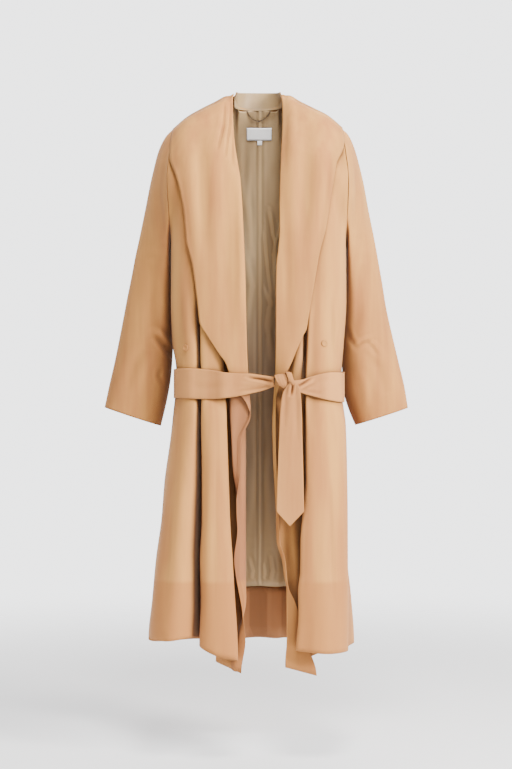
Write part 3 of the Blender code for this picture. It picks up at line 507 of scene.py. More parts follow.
frontCloth = {
    "wall": 1.4, "spanSteps": 6,
    "turns": ("pit", "secondPit"),      # the lines where the cloth turns tightly
    "turnRadius": 2.5, "turnSteps": 3, "turnShare": 0.3,
    "lapelShares": (0.12, 0.3, 0.53, 0.77, 1), "bowPower": 0.6,
    "lapelRise": 4, "lapelRiseIn": 0.125, "lapelRiseEnd": -60, "lapelRiseOut": (140, 176),
    "neckRise": 9, "neckRiseX": 50, "neckRiseWidth": 7,
    "panelWobble": 1.0, "lapelWobble": 0.8, "lapelEnd": 1.02,
}

# how far the lapel bows out towards the viewer, by level
lapelBow = ((24, 2), (12, 13), (-15, 20), (-60, 19), (-150, 10), (-240, 7), (-400, 4), (-560, 3),
             (-640, 1), (-1212, 0))

# Each line down a front has its name, its level at the hem, and rows of level, x and y. The lines follow one
# another from the side seam over each fold to the roll, and the lapel runs back from there to the free edge.
rightFront = {
    "side": bodyShape["rightSide"],
    # the reverse of the cloth shows below the sash, darkened with painted shade
    "shadedReverse": {"span": 10, "below": -600},     # where the reverse of the cloth shows
    "lines": (
        ("corner", -1135, (
            (24, -160, -1), (12, -162, -23), (-15, -168, -42), (-60, -176, -60), (-150, -183, -76),
            (-300, -181, -58), (-418, -181, -56), (-559, -170, -54), (-600, -168, -54), (-717, -180, -62),
            (-888, -197, -72), (-1143, -222, -78))),
        ("panel", -1133, (
            (24, -142, -1), (12, -143, -26), (-15, -145, -48), (-60, -150, -68), (-150, -157, -83),
            (-300, -155, -88), (-418, -158, -88), (-559, -153, -84), (-600, -152, -82), (-717, -157, -94),
            (-888, -170, -108), (-1143, -185, -114))),
        ("lip", -1128, (
            (24, -126, -1), (12, -127, -27), (-15, -128, -49), (-60, -130, -70), (-150, -134, -86),
            (-300, -136, -93), (-418, -137, -94), (-464, -135, -93), (-526, -132, -92), (-600, -131, -90),
            (-673, -133, -96), (-798, -136, -100), (-882, -140, -101), (-965, -142, -102),
            (-1049, -142, -102), (-1129, -145, -101))),
        ("pit", -1136, (
            (24, -116, -1), (12, -116, -26), (-15, -117, -48), (-60, -118, -70), (-150, -120, -87),
            (-300, -122, -95), (-418, -124, -92), (-464, -121, -76), (-526, -117, -62), (-600, -115, -62),
            (-673, -117, -54), (-798, -117, -51), (-965, -119, -51), (-1140, -120, -52))),
        ("secondEdge", -1146, (
            (24, -108, -1), (12, -108, -26), (-15, -108, -47), (-60, -108, -70), (-150, -110, -88),
            (-300, -112, -97), (-418, -114, -97), (-464, -120, -98), (-526, -120, -97), (-600, -118, -95),
            (-673, -118, -101), (-798, -116, -104), (-881, -116, -105), (-965, -120, -106),
            (-1048, -118, -106), (-1146, -121, -106))),
        ("secondCrest", -1163, (
            (24, -96, -1), (12, -96, -25), (-15, -96, -46), (-60, -95, -69), (-150, -94, -88),
            (-300, -95, -98), (-464, -97, -101), (-526, -97, -103), (-600, -95, -99), (-673, -94, -110),
            (-798, -92, -116), (-965, -90, -120), (-1146, -86, -122))),
        ("secondTurn", -1173, (
            (24, -86, -1), (12, -86, -24), (-15, -85, -44), (-60, -84, -67), (-150, -80, -87),
            (-300, -79, -98), (-464, -78, -99), (-568, -72, -96), (-600, -70, -95), (-673, -67, -102),
            (-798, -63, -106), (-881, -60, -108), (-965, -54, -109), (-1048, -49, -110),
            (-1173, -43, -110))),
        ("secondPit", -1184, (
            (24, -78, -1), (12, -78, -23), (-15, -77, -42), (-60, -76, -65), (-150, -70, -86),
            (-300, -68, -96), (-464, -68, -92), (-568, -76, -76), (-600, -79, -74), (-673, -80, -58),
            (-798, -78, -50), (-965, -82, -50), (-1157, -89, -52))),
        ("innerFold", -1196, (
            (24, -71, -1), (12, -71, -17), (-15, -70, -35), (-60, -69, -60), (-150, -60, -85),
            (-300, -56, -95), (-464, -50, -94), (-568, -38, -86), (-600, -36, -86), (-656, -32, -82),
            (-698, -27, -76), (-883, -27, -72), (-1050, -27, -72), (-1135, -50, -74), (-1204, -58, -78))),
        ("thirdEdge", -1200, (
            (24, -65, -1), (12, -65, -14), (-15, -64, -30), (-60, -62, -56), (-150, -52, -85),
            (-300, -45, -96), (-464, -44, -99), (-568, -52, -97), (-600, -56, -97), (-627, -59, -100),
            (-731, -55, -104), (-775, -53, -101), (-820, -46, -94), (-860, -40, -90), (-903, -38, -89),
            (-993, -38, -90), (-1050, -29, -87), (-1135, -42, -86), (-1204, -50, -87))),
        ("roll", -1201, (
            (24, -53, -5), (12, -55, -17), (-13, -55, -30), (-56, -53, -55), (-94, -49, -74),
            (-130, -43, -84), (-157, -39, -91), (-212, -35, -98), (-277, -32, -106), (-366, -28, -108),
            (-502, -25, -108), (-577, -22, -107), (-618, -19, -107), (-650, -17, -106), (-660, -19, -106),
            (-676, -25, -106), (-717, -43, -106), (-775, -44, -106), (-797, -44, -103), (-820, -45, -98),
            (-840, -44, -95), (-860, -42, -92), (-903, -41, -91), (-993, -43, -92), (-1050, -33, -89),
            (-1135, -36, -88), (-1204, -43, -88))),
    ),
    "freeEdge": ("freeEdge", -1204, (
        (24, -183, -5), (12, -184.5, -34.5), (-15, -187.5, -53), (-60, -188.0, -67), (-82, -185.0, -72),
        (-104, -180.4, -79), (-126, -175.6, -86), (-150, -170.8, -91.5), (-192, -163.5, -97),
        (-242, -156, -101), (-298, -151, -103), (-350, -138, -106), (-423, -128, -107), (-473, -122, -108),
        (-485, -115, -109), (-512, -97, -112), (-533, -83, -113), (-556, -67, -113), (-572, -62, -112),
        (-622, -37, -113), (-632, -28, -113), (-650, -20, -112), (-660, -16, -110), (-676, -19, -109),
        (-687, -25, -109), (-717, -35, -109), (-775, -36, -109), (-797, -39, -107), (-820, -43, -103),
        (-840, -46, -97), (-860, -46, -94), (-903, -44, -94), (-966, -51, -94), (-993, -48, -94),
        (-1050, -38, -92), (-1092, -31, -91), (-1135, -27, -90), (-1204, -36, -89))),
    "panelCreases": (
        (9, -2.0, ((-160, -380), (-163, -470), (-158, -556))),
        (8, 2.0, ((-96, -640), (-99, -800), (-103, -1000), (-104, -1140))),
        (14, -3.0, ((-158, -650), (-176, -860), (-196, -1120))),
        (10, 2.0, ((-190, -700), (-205, -900), (-214, -1120))),
    ),
    "lapelCreases": (
        (16, -2.5, ((-120, -40), (-112, -140), (-104, -280))),
        (15, 2.0, ((-82, -30), (-84, -160), (-78, -330))),
        (3.2, -3.4, ((-59, 8), (-61, -50), (-67, -120))),
        (3.6, -3.0, ((-68, 0), (-72, -45), (-84, -105))),
        (3.0, 2.6, ((-63.5, 4), (-66, -50), (-75, -110))),
        (3, -1.6, ((-54, -30), (-55, -80), (-52, -140))),
        (12, 2.0, ((-140, -110), (-136, -220), (-118, -360))),
        (13, -2.0, ((-58, -230), (-60, -380), (-52, -520))),
        (6, 1.5, ((-36, -180), (-35, -330), (-36, -480))),
    ),
}

leftFront = {
    "side": bodyShape["leftSide"],
    "lines": (
        ("corner", -1160, (
            (24, 158, -1), (12, 160, -23), (-15, 165, -42), (-60, 173, -60), (-150, 180, -76),
            (-300, 181, -58), (-418, 182, -56), (-516, 176, -55), (-600, 170, -54), (-700, 180, -62),
            (-900, 184, -74), (-1143, 184, -80))),
        ("panel", -1159, (
            (24, 138, -1), (12, 140, -26), (-15, 143, -47), (-60, 148, -67), (-150, 151, -83),
            (-300, 152, -88), (-418, 152, -88), (-516, 148, -87), (-600, 142, -84), (-700, 148, -98),
            (-900, 148, -112), (-1143, 146, -116))),
        ("panelEdge", -1156, (
            (24, 118, -1), (12, 119, -26), (-15, 122, -48), (-60, 125, -69), (-150, 126, -85),
            (-300, 125, -94), (-500, 118, -95), (-600, 114, -90), (-700, 117, -104), (-900, 112, -114),
            (-1150, 106, -117))),
        ("lip", -1153, (
            (24, 104, -1), (12, 104, -26), (-15, 105, -47), (-60, 106, -69), (-150, 108, -86),
            (-300, 106, -97), (-418, 106, -98), (-495, 104, -97), (-530, 103, -96), (-579, 100, -92),
            (-631, 99, -98), (-798, 99, -106), (-862, 93, -107), (-925, 88, -108), (-990, 87, -108),
            (-1029, 83, -109), (-1077, 84, -109), (-1152, 79, -109))),
        ("pit", -1158, (
            (24, 96, -1), (12, 96, -25), (-15, 97, -46), (-60, 97, -68), (-150, 98, -87), (-300, 97, -97),
            (-418, 98, -98), (-495, 98, -72), (-540, 98, -62), (-579, 102, -66), (-631, 116, -62),
            (-798, 124, -54), (-1000, 133, -52), (-1060, 146, -52), (-1152, 148, -52))),
        ("smallEdge", -1170, (
            (24, 90, -1), (12, 90, -25), (-15, 90, -45), (-60, 89, -67), (-150, 88, -87), (-300, 88, -97),
            (-418, 90, -99), (-495, 91, -99), (-540, 90, -97), (-579, 86, -88), (-631, 91, -76),
            (-798, 96, -68), (-1000, 104, -64), (-1152, 118, -61))),
        ("smallTurn", -1178, (
            (24, 84, -1), (12, 84, -24), (-15, 84, -44), (-60, 82, -66), (-150, 80, -87), (-300, 78, -97),
            (-418, 80, -99), (-495, 80, -99), (-526, 79, -99), (-579, 74, -92), (-631, 74, -84),
            (-798, 72, -84), (-1000, 82, -76), (-1152, 96, -70))),
        ("smallPit", -1184, (
            (24, 77, -1), (12, 77, -23), (-15, 76, -41), (-60, 74, -64), (-150, 70, -86), (-300, 66, -96),
            (-495, 70, -92), (-579, 62, -86), (-631, 52, -80), (-798, 52, -78), (-925, 56, -78),
            (-1000, 68, -77), (-1152, 78, -74))),
        ("inner", -1188, (
            (24, 68, -1), (12, 67, -15), (-15, 66, -32), (-60, 64, -57), (-150, 58, -86), (-300, 54, -97),
            (-495, 54, -96), (-579, 48, -90), (-631, 44, -82), (-798, 45, -82), (-925, 49, -82),
            (-1000, 61, -81), (-1060, 65, -79), (-1152, 66, -77))),
        ("roll", -1192, (
            (24, 49, -3), (12, 51, -15), (-13, 52, -30), (-56, 51, -55), (-94, 49, -74), (-148, 47, -89),
            (-212, 45, -98), (-276, 45, -106), (-306, 43, -106), (-351, 38, -107), (-412, 37, -107),
            (-481, 37, -107), (-579, 36, -103), (-610, 33, -96), (-683, 30, -94), (-736, 31, -94),
            (-861, 37, -94), (-926, 39, -93), (-966, 50, -91), (-1008, 56, -89), (-1023, 59, -88),
            (-1071, 60, -87), (-1131, 60, -86), (-1186, 57, -85))),
    ),
    "freeEdge": ("freeEdge", -1212, (
        (24, 180, -5), (12, 181, -34.5), (-15, 182, -53), (-45, 178, -66), (-60, 174.5, -72),
        (-80, 169, -80), (-98, 164.5, -86), (-156, 158, -96), (-268, 142, -103), (-323, 128, -106),
        (-398, 115, -108), (-468, 103, -109), (-481, 101, -110), (-501, 91, -111), (-531, 78, -113),
        (-560, 66, -113), (-579, 55, -111), (-600, 44, -104), (-631, 37, -99), (-683, 36, -100),
        (-736, 37, -100), (-861, 43, -100), (-926, 45, -99), (-966, 56, -97), (-1008, 60, -96),
        (-1024, 63, -95), (-1049, 75, -91), (-1072, 83, -87), (-1150, 105, -77), (-1212, 123, -72))),
    "panelCreases": (
        (12, -2.2, ((150, -380), (158, -470), (160, -556))),
        (16, -2.5, ((140, -650), (150, -860), (160, -1120))),
        (10, 2.0, ((168, -680), (176, -900), (182, -1120))),
        (10, 1.5, ((116, -700), (112, -860), (104, -1100))),
    ),
    "lapelCreases": (
        (15, -2.5, ((108, -40), (104, -140), (96, -290))),
        (16, 2.5, ((80, -30), (78, -160), (74, -330))),
        (7, -1.5, ((64, -10), (60, -60), (56, -150))),
        (12, 2.0, ((142, -110), (128, -220), (112, -340))),
        (12, -2.2, ((60, -230), (62, -380), (60, -500))),
    ),
}


def roundTurn(before, turn, after):
    # the point of a tight turn becomes two, so that the cloth goes round a small radius
    before, turn, after = Vector(before), Vector(turn), Vector(after)
    share = frontCloth["turnShare"]
    reach = min(frontCloth["turnRadius"], share * (turn - before).length, share * (after - turn).length)
    along = (after - before).normalized() * reach
    return [turn - along, turn + along]


def frontRow(front, level, spanSteps):
    # a row of cloth from the side seam to the free edge, and the share of it that lies before the roll
    lines, freeEdge = front["lines"], front["freeEdge"]
    sideLevel = hemmedLevel(level, lines[0][1])
    sideX = readLine(front["side"], sideLevel)[0]
    sideZ = clothHeight(sideX, sideLevel)
    points = [(sideX, -abs(armholeDepth(sideZ)) - bodyShape["seamGap"], sideZ)]
    steps, turns = [], []
    for name, hem, rows in lines:
        rowLevel = hemmedLevel(level, hem)
        x, y = readLine(rows, rowLevel)
        points.append((x, y, clothHeight(x, rowLevel)))
        steps.append(spanSteps)
        if name in frontCloth["turns"]:
            turns.append(len(points) - 1)
    rollHem, freeHem = lines[-1][1], freeEdge[1]
    for share in frontCloth["lapelShares"]:
        rowLevel = hemmedLevel(level, rollHem + (freeHem - rollHem) * share)
        rollX, rollY = readLine(lines[-1][2], rowLevel)
        freeX, freeY = readLine(freeEdge[2], rowLevel)
        bow = readLine(lapelBow, rowLevel)[0] * max(math.sin(math.pi * share), 0) ** frontCloth["bowPower"]
        x = rollX + (freeX - rollX) * share
        nearTop = shareBetween(rowLevel, frontCloth["lapelRiseEnd"], bodyShape["neckLevel"])
        rise = frontCloth["lapelRise"] * nearTop * min(share / frontCloth["lapelRiseIn"], 1)
        rise *= 1 - fade(abs(x), *frontCloth["lapelRiseOut"])
        points.append((x, rollY + (freeY - rollY) * share - bow, clothHeight(x, rowLevel) + rise))
        steps.append(spanSteps)
    rollColumn = sum(steps[:len(lines)])
    for index in reversed(turns):
        points[index:index + 1] = roundTurn(*points[index - 1:index + 2])
        steps.insert(index, frontCloth["turnSteps"])
        rollColumn += frontCloth["turnSteps"]
    # near the neck the cloth stands up against the collar stand
    nearTop = shareBetween(level, frontCloth["lapelRiseEnd"], bodyShape["neckLevel"])
    row = smoothPath(points, steps)
    for point in row:
        away = (abs(point.x) - frontCloth["neckRiseX"]) / frontCloth["neckRiseWidth"]
        point.z += frontCloth["neckRise"] * nearTop ** 2 * math.exp(-away * away)
    return row, rollColumn / sum(steps)


def makeFront(name, front, node):
    rows = [frontRow(front, level, frontCloth["spanSteps"]) for level in rowLevels(bodyShape["rowSpacing"])]
    rollShare = rows[0][1]
    grid = toGrid(row for row, _ in rows)
    lapel = (rollShare, frontCloth["lapelEnd"])
    grid = pressCreases(grid, front["panelCreases"], -1, frontCloth["panelWobble"], columns=(0, rollShare))
    grid = pressCreases(grid, front["lapelCreases"], -1, frontCloth["lapelWobble"], columns=lapel)
    piece = sheetMesh(name, grid, frontCloth["wall"], camel)
    if "shadedReverse" in front:
        showShadedReverse(piece, grid.shape[1], front["shadedReverse"])
    return dress(piece, "camel_twill", node)


def showShadedReverse(piece, width, shadedReverse):
    # below the sash the inner turned layer shows the reverse of the cloth, darkened with painted shade
    piece.data.materials.append(camelShadedReverse)
    column = frontCloth["spanSteps"] * shadedReverse["span"]
    for face in piece.data.polygons:
        columns = [index % width for index in face.vertices]
        if min(columns) >= column and face.center.z < shadedReverse["below"] * mm:
            face.material_index = 1


rightFrontPiece = makeFront("rightFront", rightFront, "right_front")
leftFrontPiece = makeFront("leftFront", leftFront, "left_front")
print("fronts made")


back = {
    "wall": 1.4, "liningWall": 1.0, "hem": -1160, "spanSteps": 9,
    "lines": ("corner", "blade", "shoulder", "neck", "napeSide", "centre"),
    "lineX": {"blade": 130, "shoulder": 92, "neck": 56, "napeSide": 42, "centre": 0},
    "depths": (             # level, then y of each line
        (24, 1, 1, 1, 5, 32, 52), (12, 22, 24, 26, 30, 42, 55), (0, 36, 38, 40, 44, 51, 59),
        (-30, 54, 58, 60, 62, 66, 68), (-80, 66, 76, 78, 78, 78, 78), (-150, 74, 88, 92, 92, 90, 88),
        (-240, 60, 92, 100, 102, 100, 98), (-300, 54, 90, 102, 105, 104, 102),
        (-420, 50, 84, 98, 102, 102, 100), (-600, 44, 74, 88, 92, 92, 90), (-720, 52, 84, 96, 100, 98, 98),
        (-900, 58, 94, 102, 108, 104, 106), (-1160, 62, 100, 108, 114, 108, 112),
    ),
    # level, then how far the right and left corners lie in from the side seams
    "corner": ((24, 12, 12), (-240, 12, 12), (-330, 22, 22), (-500, 20, 20), (-590, 10, 10), (-900, 8, 8),
               (-1050, 6, -4), (-1160, 4, -14)),
    "foldWidth": 82, "foldHeight": 6, "foldTop": -560, "foldReach": 170, "foldFade": 40,
    "creases": (
        (16, 2.5, ((-120, -60), (-128, -160), (-122, -280))),
        (15, 2.2, ((118, -60), (130, -160), (126, -280))),
        (22, 2.0, ((-70, -90), (-78, -260), (-64, -420))),
        (20, 2.2, ((64, -100), (72, -280), (70, -430))),
        (10, 2.6, ((-20, -330), (-24, -450), (-18, -560)), 0.5),
        (9, 2.4, ((30, -350), (28, -460), (34, -560)), 0.5),
        (8, 2.8, ((-96, -420), (-92, -500), (-98, -562)), 0.5),
        (8, 2.8, ((88, -430), (94, -500), (90, -562)), 0.5),
        (12, 2.6, ((-60, -634), (-64, -760), (-58, -980))),
        (12, 2.6, ((56, -634), (62, -780), (54, -1000))),
        (14, 2.8, ((-134, -640), (-148, -820), (-160, -1080))),
        (14, 2.8, ((130, -640), (146, -820), (152, -1080))),
        (2.4, -0.8, ((0, -2), (0, -400), (0, -1158)), 0.05),
    ),
    "wobble": 0.8,
    "deepest": 0.8,         # how far a crease may press towards the lining, and the lining back
    "liningInset": 3.2, "liningTop": 22, "liningBottom": -1043.5, "liningSteps": 14, "liningWobble": 0.6,
    "seamDrop": 4, "seamDropLevels": (-80, -20), "seamDropX": (18, 46), "seamLean": 1.5,
    "facingInset": 2.3, "facingTop": -1046, "facingBottom": -1139, "facingSpacing": 12, "facingSteps": 4,
}
liningCreases = (
    # the pleat down the middle, laid over to one side
    (1.8, -1.4, ((-1.5, 4), (-1.5, -120), (-1.5, -400), (-1.5, -1038)), 0.05),
    (2.8, 2.2, ((3.5, 4), (3.5, -120), (3.5, -400), (3.5, -1038)), 0.05),
    (8, 2.4, ((-34, -50), (-36, -140), (-22, -240))),
    (6, 1.6, ((-14, -90), (-20, -200), (-12, -330))),
    (4, 4.6, ((24, -210), (36, -290), (46, -390))),
    (4, 4.2, ((50, -240), (32, -310), (36, -400))),
    (4, 3.4, ((10, -250), (20, -330), (30, -420))),
    (7, 2.2, ((-24, -310), (-14, -380), (-24, -470))),
    (5, 2.6, ((14, -380), (26, -420), (14, -480))),
    (6, 2.2, ((34, -420), (22, -480), (26, -550))),
    (9, 2.2, ((-14, -640), (-6, -760), (-16, -940))),
    (9, 2.2, ((26, -660), (18, -800), (24, -960))),
    (3.5, 2.2, ((-18, -980), (-12, -1010), (-14, -1034))),
    (3.5, 2.2, ((28, -975), (32, -1010), (28, -1034))),
    (3, 1.8, ((12, -990), (15, -1015), (12, -1034))),
    (2.2, -1.0, ((-60, -1036), (0, -1036), (60, -1036)), 0.1),
)


def backRow(level, spanSteps):
    # a row of the back from one side seam to the other, with soft folds that deepen towards the hem
    rowLevel = hemmedLevel(level, back["hem"])
    depths = dict(zip(back["lines"], readLine(back["depths"], rowLevel)))
    insets = readLine(back["corner"], rowLevel)
    halves = []
    for sign, front, inset in ((-1, rightFront, insets[0]), (1, leftFront, insets[1])):
        sideLevel = hemmedLevel(level, front["lines"][0][1])
        sideX = readLine(front["side"], sideLevel)[0]
        sideZ = clothHeight(sideX, sideLevel)
        sideY = max(armholeDepth(sideZ), bodyShape["sideSeamY"]) + bodyShape["seamGap"]
        half = [(sideX, sideY, sideZ)]
        for name in back["lines"]:
            x = sideX - sign * inset if name == "corner" else sign * back["lineX"][name]
            y = max(depths[name], sideY) if name == "corner" else depths[name]
            half.append((x, y, clothHeight(x, rowLevel)))
        halves.append(half)
    points = halves[0] + halves[1][-2::-1]
    row = smoothPath(points, [spanSteps] * (len(points) - 1))
    fold = back["foldHeight"] * shareBetween(rowLevel, back["foldTop"], back["hem"])
    for point in row:
        inside = shareBetween(abs(point.x), back["foldReach"], back["foldReach"] - back["foldFade"])
        point.y += fold * inside * math.cos(2 * math.pi * point.x / back["foldWidth"])
    return row


def insetBackRow(level, inset, seamDrop, spanSteps):
    # a row inside the back, clear of the side and shoulder seams
    nearTop = shareBetween(level, *back["seamDropLevels"])
    row = backRow(level, spanSteps)
    lower = backRow(level - seamDrop * nearTop, spanSteps)
    points = []
    for index in range(spanSteps, len(row) - spanSteps):
        nearSeam = shareBetween(abs(row[index].x), *back["seamDropX"])
        ahead = row[index + 1] - row[index - 1]
        inward = Vector((ahead.y, -ahead.x, 0)).normalized() * inset
        inward.z = -back["seamLean"] * inset * nearSeam * nearTop
        points.append(row[index].lerp(lower[index], nearSeam) + inward)
    return points


backGrid = toGrid(backRow(level, back["spanSteps"]) for level in rowLevels(bodyShape["rowSpacing"]))
backGrid = pressCreases(backGrid, back["creases"], 1, back["wobble"], deepest=back["deepest"])
backPiece = dress(sheetMesh("backPanel", backGrid, back["wall"], camel), "camel_twill", "back")
liningLevels = rowLevels(bodyShape["rowSpacing"], back["liningBottom"], back["liningTop"])
liningGrid = toGrid(insetBackRow(level, back["liningInset"], back["seamDrop"], back["liningSteps"])
                    for level in liningLevels)
liningGrid = pressCreases(liningGrid, liningCreases, -1, back["liningWobble"], deepest=back["deepest"])
liningPiece = sheetMesh("backLining", liningGrid, back["liningWall"], khaki)
dress(liningPiece, "khaki_lining", "back_lining")
facingLevels = rowLevels(back["facingSpacing"], back["facingBottom"], back["facingTop"])
facingGrid = toGrid(insetBackRow(level, back["facingInset"], 0, back["facingSteps"])
                    for level in facingLevels)
facingPiece = sheetMesh("hemFacing", facingGrid, back["liningWall"], camelInsideShaded)
dress(facingPiece, "camel_twill", "back_hem_facing")
print("back made")


sleeveCloth = {"wall": 1.4, "sides": 96, "ringSteps": 9, "clearance": 1.0, "wobble": 1.2,
               "creaseColumns": (-0.1, 1.1)}    # past both edges, so that creases run all round
# each ring is x and z of its outer side, x and z of its inner side, its middle y and its half depth
rightSleeve = {
    "side": bodyShape["rightSide"],
    "rings": (
        (-198, -66, -189, -318, 2, 67), (-213, -94, -188.7, -345, 6, 63),
        (-229, -152, -188.2, -382, 14, 57), (-244, -222, -187.4, -425, 23, 52),
        (-258, -292, -186, -470, 28, 48), (-272, -358, -185.5, -510, 32, 46),
        (-286, -424, -187, -545, 34, 45), (-299, -490, -190, -580, 36, 43),
        (-311, -548, -196, -618, 37, 40), (-323, -600, -204, -655, 36, 37),
        (-333, -648, -212, -688, 35, 34)),
    "creases": (
        (6, -5.0, ((-222, -490), (-200, -518), (-186, -540))),
        (6, 2.5, ((-216, -476), (-200, -500), (-188, -516))),
        (12, -3.0, ((-226, -330), (-222, -420), (-212, -500))),
        (14, 2.5, ((-250, -200), (-262, -330), (-282, -450))),
        (5, -2.0, ((-210, -560), (-214, -580), (-206, -600))),
        (12, -1.8, ((-240, -520), (-262, -560), (-280, -620))),
        (10, -3.0, ((-206, -120), (-210, -200), (-204, -300))),
    ),
    "backCreases": (
        (8, -3.5, ((-200, -430), (-226, -452), (-262, -456))),
        (7, -3.0, ((-200, -490), (-236, -500), (-270, -490))),
        (14, -2.5, ((-216, -120), (-222, -240), (-226, -360))),
        (14, 2.2, ((-236, -520), (-252, -580), (-262, -640))),
    ),
}
leftSleeve = {
    "side": bodyShape["leftSide"],
    "rings": (
        (192, -62, 191, -318, 2, 67), (206, -90, 190, -345, 6, 63), (223, -150, 190, -382, 14, 57),
        (237, -218, 188.5, -425, 23, 52), (251, -292, 187, -470, 28, 48), (263, -358, 183.6, -510, 32, 46),
        (275, -424, 181.5, -545, 34, 45), (289, -487, 184, -580, 36, 43), (303, -545, 187, -618, 37, 40),
        (316, -600, 198, -655, 36, 37), (324, -649, 211, -686, 35, 34)),
    "creases": (
        (4.5, -1.3, ((232, -506), (246, -516), (258, -534))),
        (4.5, -1.4, ((206, -522), (224, -508), (246, -500))),
        (5, -2.0, ((188, -470), (196, -500), (212, -520))),
        (12, -2.5, ((222, -330), (216, -430), (206, -520))),
        (14, 2.5, ((246, -220), (258, -340), (272, -450))),
        (12, -1.8, ((236, -520), (262, -560), (276, -620))),
        (9, -3.0, ((206, -110), (210, -190), (204, -280))),
        (9, 1.6, ((222, -560), (232, -600), (238, -650))),
    ),
    "backCreases": (
        (8, -3.5, ((196, -430), (222, -448), (256, -450))),
        (7, -3.0, ((198, -494), (232, -500), (266, -488))),
        (14, -2.5, ((212, -120), (218, -240), (222, -360))),
        (14, 2.2, ((232, -520), (246, -580), (258, -640))),
    ),
}


def makeSleeve(name, sleeve, node):
    # a tube from the oval armhole through the rings to the cuff
    rings = sleeve["rings"]
    sign = 1 if rings[0][0] > 0 else -1
    columns = []
    for i in range(sleeveCloth["sides"]):
        angle = 2 * math.pi * i / sleeveCloth["sides"]
        z = armholeMiddle + armholeHalf * math.cos(angle)
        start = (sideXAt(sleeve["side"], z) + sign * sleeveCloth["clearance"],
                 bodyShape["armholeHalfDepth"] * math.sin(angle), z)
        column = [start]
        for outerX, outerZ, innerX, innerZ, middleY, halfDepth in rings:
            column.append(((outerX + innerX) / 2 + (outerX - innerX) / 2 * math.cos(angle),
                           middleY + halfDepth * math.sin(angle),
                           (outerZ + innerZ) / 2 + (outerZ - innerZ) / 2 * math.cos(angle)))
        columns.append(smoothPath(column, [sleeveCloth["ringSteps"]] * (len(column) - 1)))
    grid = toGrid(columns).transpose(1, 0, 2)
    columns = sleeveCloth["creaseColumns"]
    grid = pressCreases(grid, sleeve["creases"], -1, sleeveCloth["wobble"], closed=True, columns=columns)
    grid = pressCreases(grid, sleeve["backCreases"], 1, 0, closed=True, columns=columns)
    piece = sheetMesh(name, grid, sleeveCloth["wall"], camelSleeveShaded, closed=True)
    return dress(piece, "camel_twill", node)


rightSleevePiece = makeSleeve("rightSleeve", rightSleeve, "right_sleeve")
leftSleevePiece = makeSleeve("leftSleeve", leftSleeve, "left_sleeve")
print("sleeves made")


collar = {"halfWidth": 53, "topHalfWidth": 47, "frontY": 3, "backY": 53, "backPower": 0.8, "top": 37,
          "endDrop": 6, "lift": 1.0, "sideLift": 1.8, "sidePower": 4,
          "facingInset": 2.0, "facingLow": -2.5, "facingStep": 4.0,
          "wall": 1.4, "facingWall": 1.0, "steps": 64, "rows": 12, "lowRows": 4}


def collarRow(share, inset, low=None):
    # a row at a share of the stand's height, or at a share of the facing's way down below the seam
    halfWidth = collar["halfWidth"] + (collar["topHalfWidth"] - collar["halfWidth"]) * share - inset
    depth = collar["backY"] - inset - collar["frontY"]
    row = []
    for step in range(collar["steps"] + 1):
        angle = math.pi * (step / collar["steps"] - 0.5)
        x = halfWidth * math.sin(angle)
        y = collar["frontY"] + depth * math.cos(angle) ** collar["backPower"]
        y -= collar["facingStep"] * (low or 0)
        sideLift = collar["sideLift"] * (x / collar["halfWidth"]) ** collar["sidePower"]
        base = topEdgeHeight(x) + collar["lift"] + sideLift
        top = collar["top"] - collar["endDrop"] * (1 - math.cos(angle))
        z = base + (top - base) * share if low is None else base + (collar["facingLow"] - base) * low
        row.append((x, y, z))
    return row


def collarGrid(inset):
    return [collarRow(r / collar["rows"], inset) for r in range(collar["rows"] + 1)]


def neckFacingGrid():
    # the facing reaches down over the seam, to a straight edge in front of the lining
    inset = collar["facingInset"]
    lows = [r / collar["lowRows"] for r in range(collar["lowRows"], 0, -1)]
    return [collarRow(0, inset, low) for low in lows] + collarGrid(inset)


standPiece = sheetMesh("collarStand", collarGrid(0), collar["wall"], camel)
dress(standPiece, "camel_twill", "collar_stand")
neckFacingPiece = sheetMesh("neckFacing", neckFacingGrid(), collar["facingWall"], khakiFacing)
dress(neckFacingPiece, "khaki_lining", "neck_facing")
print("collar made")


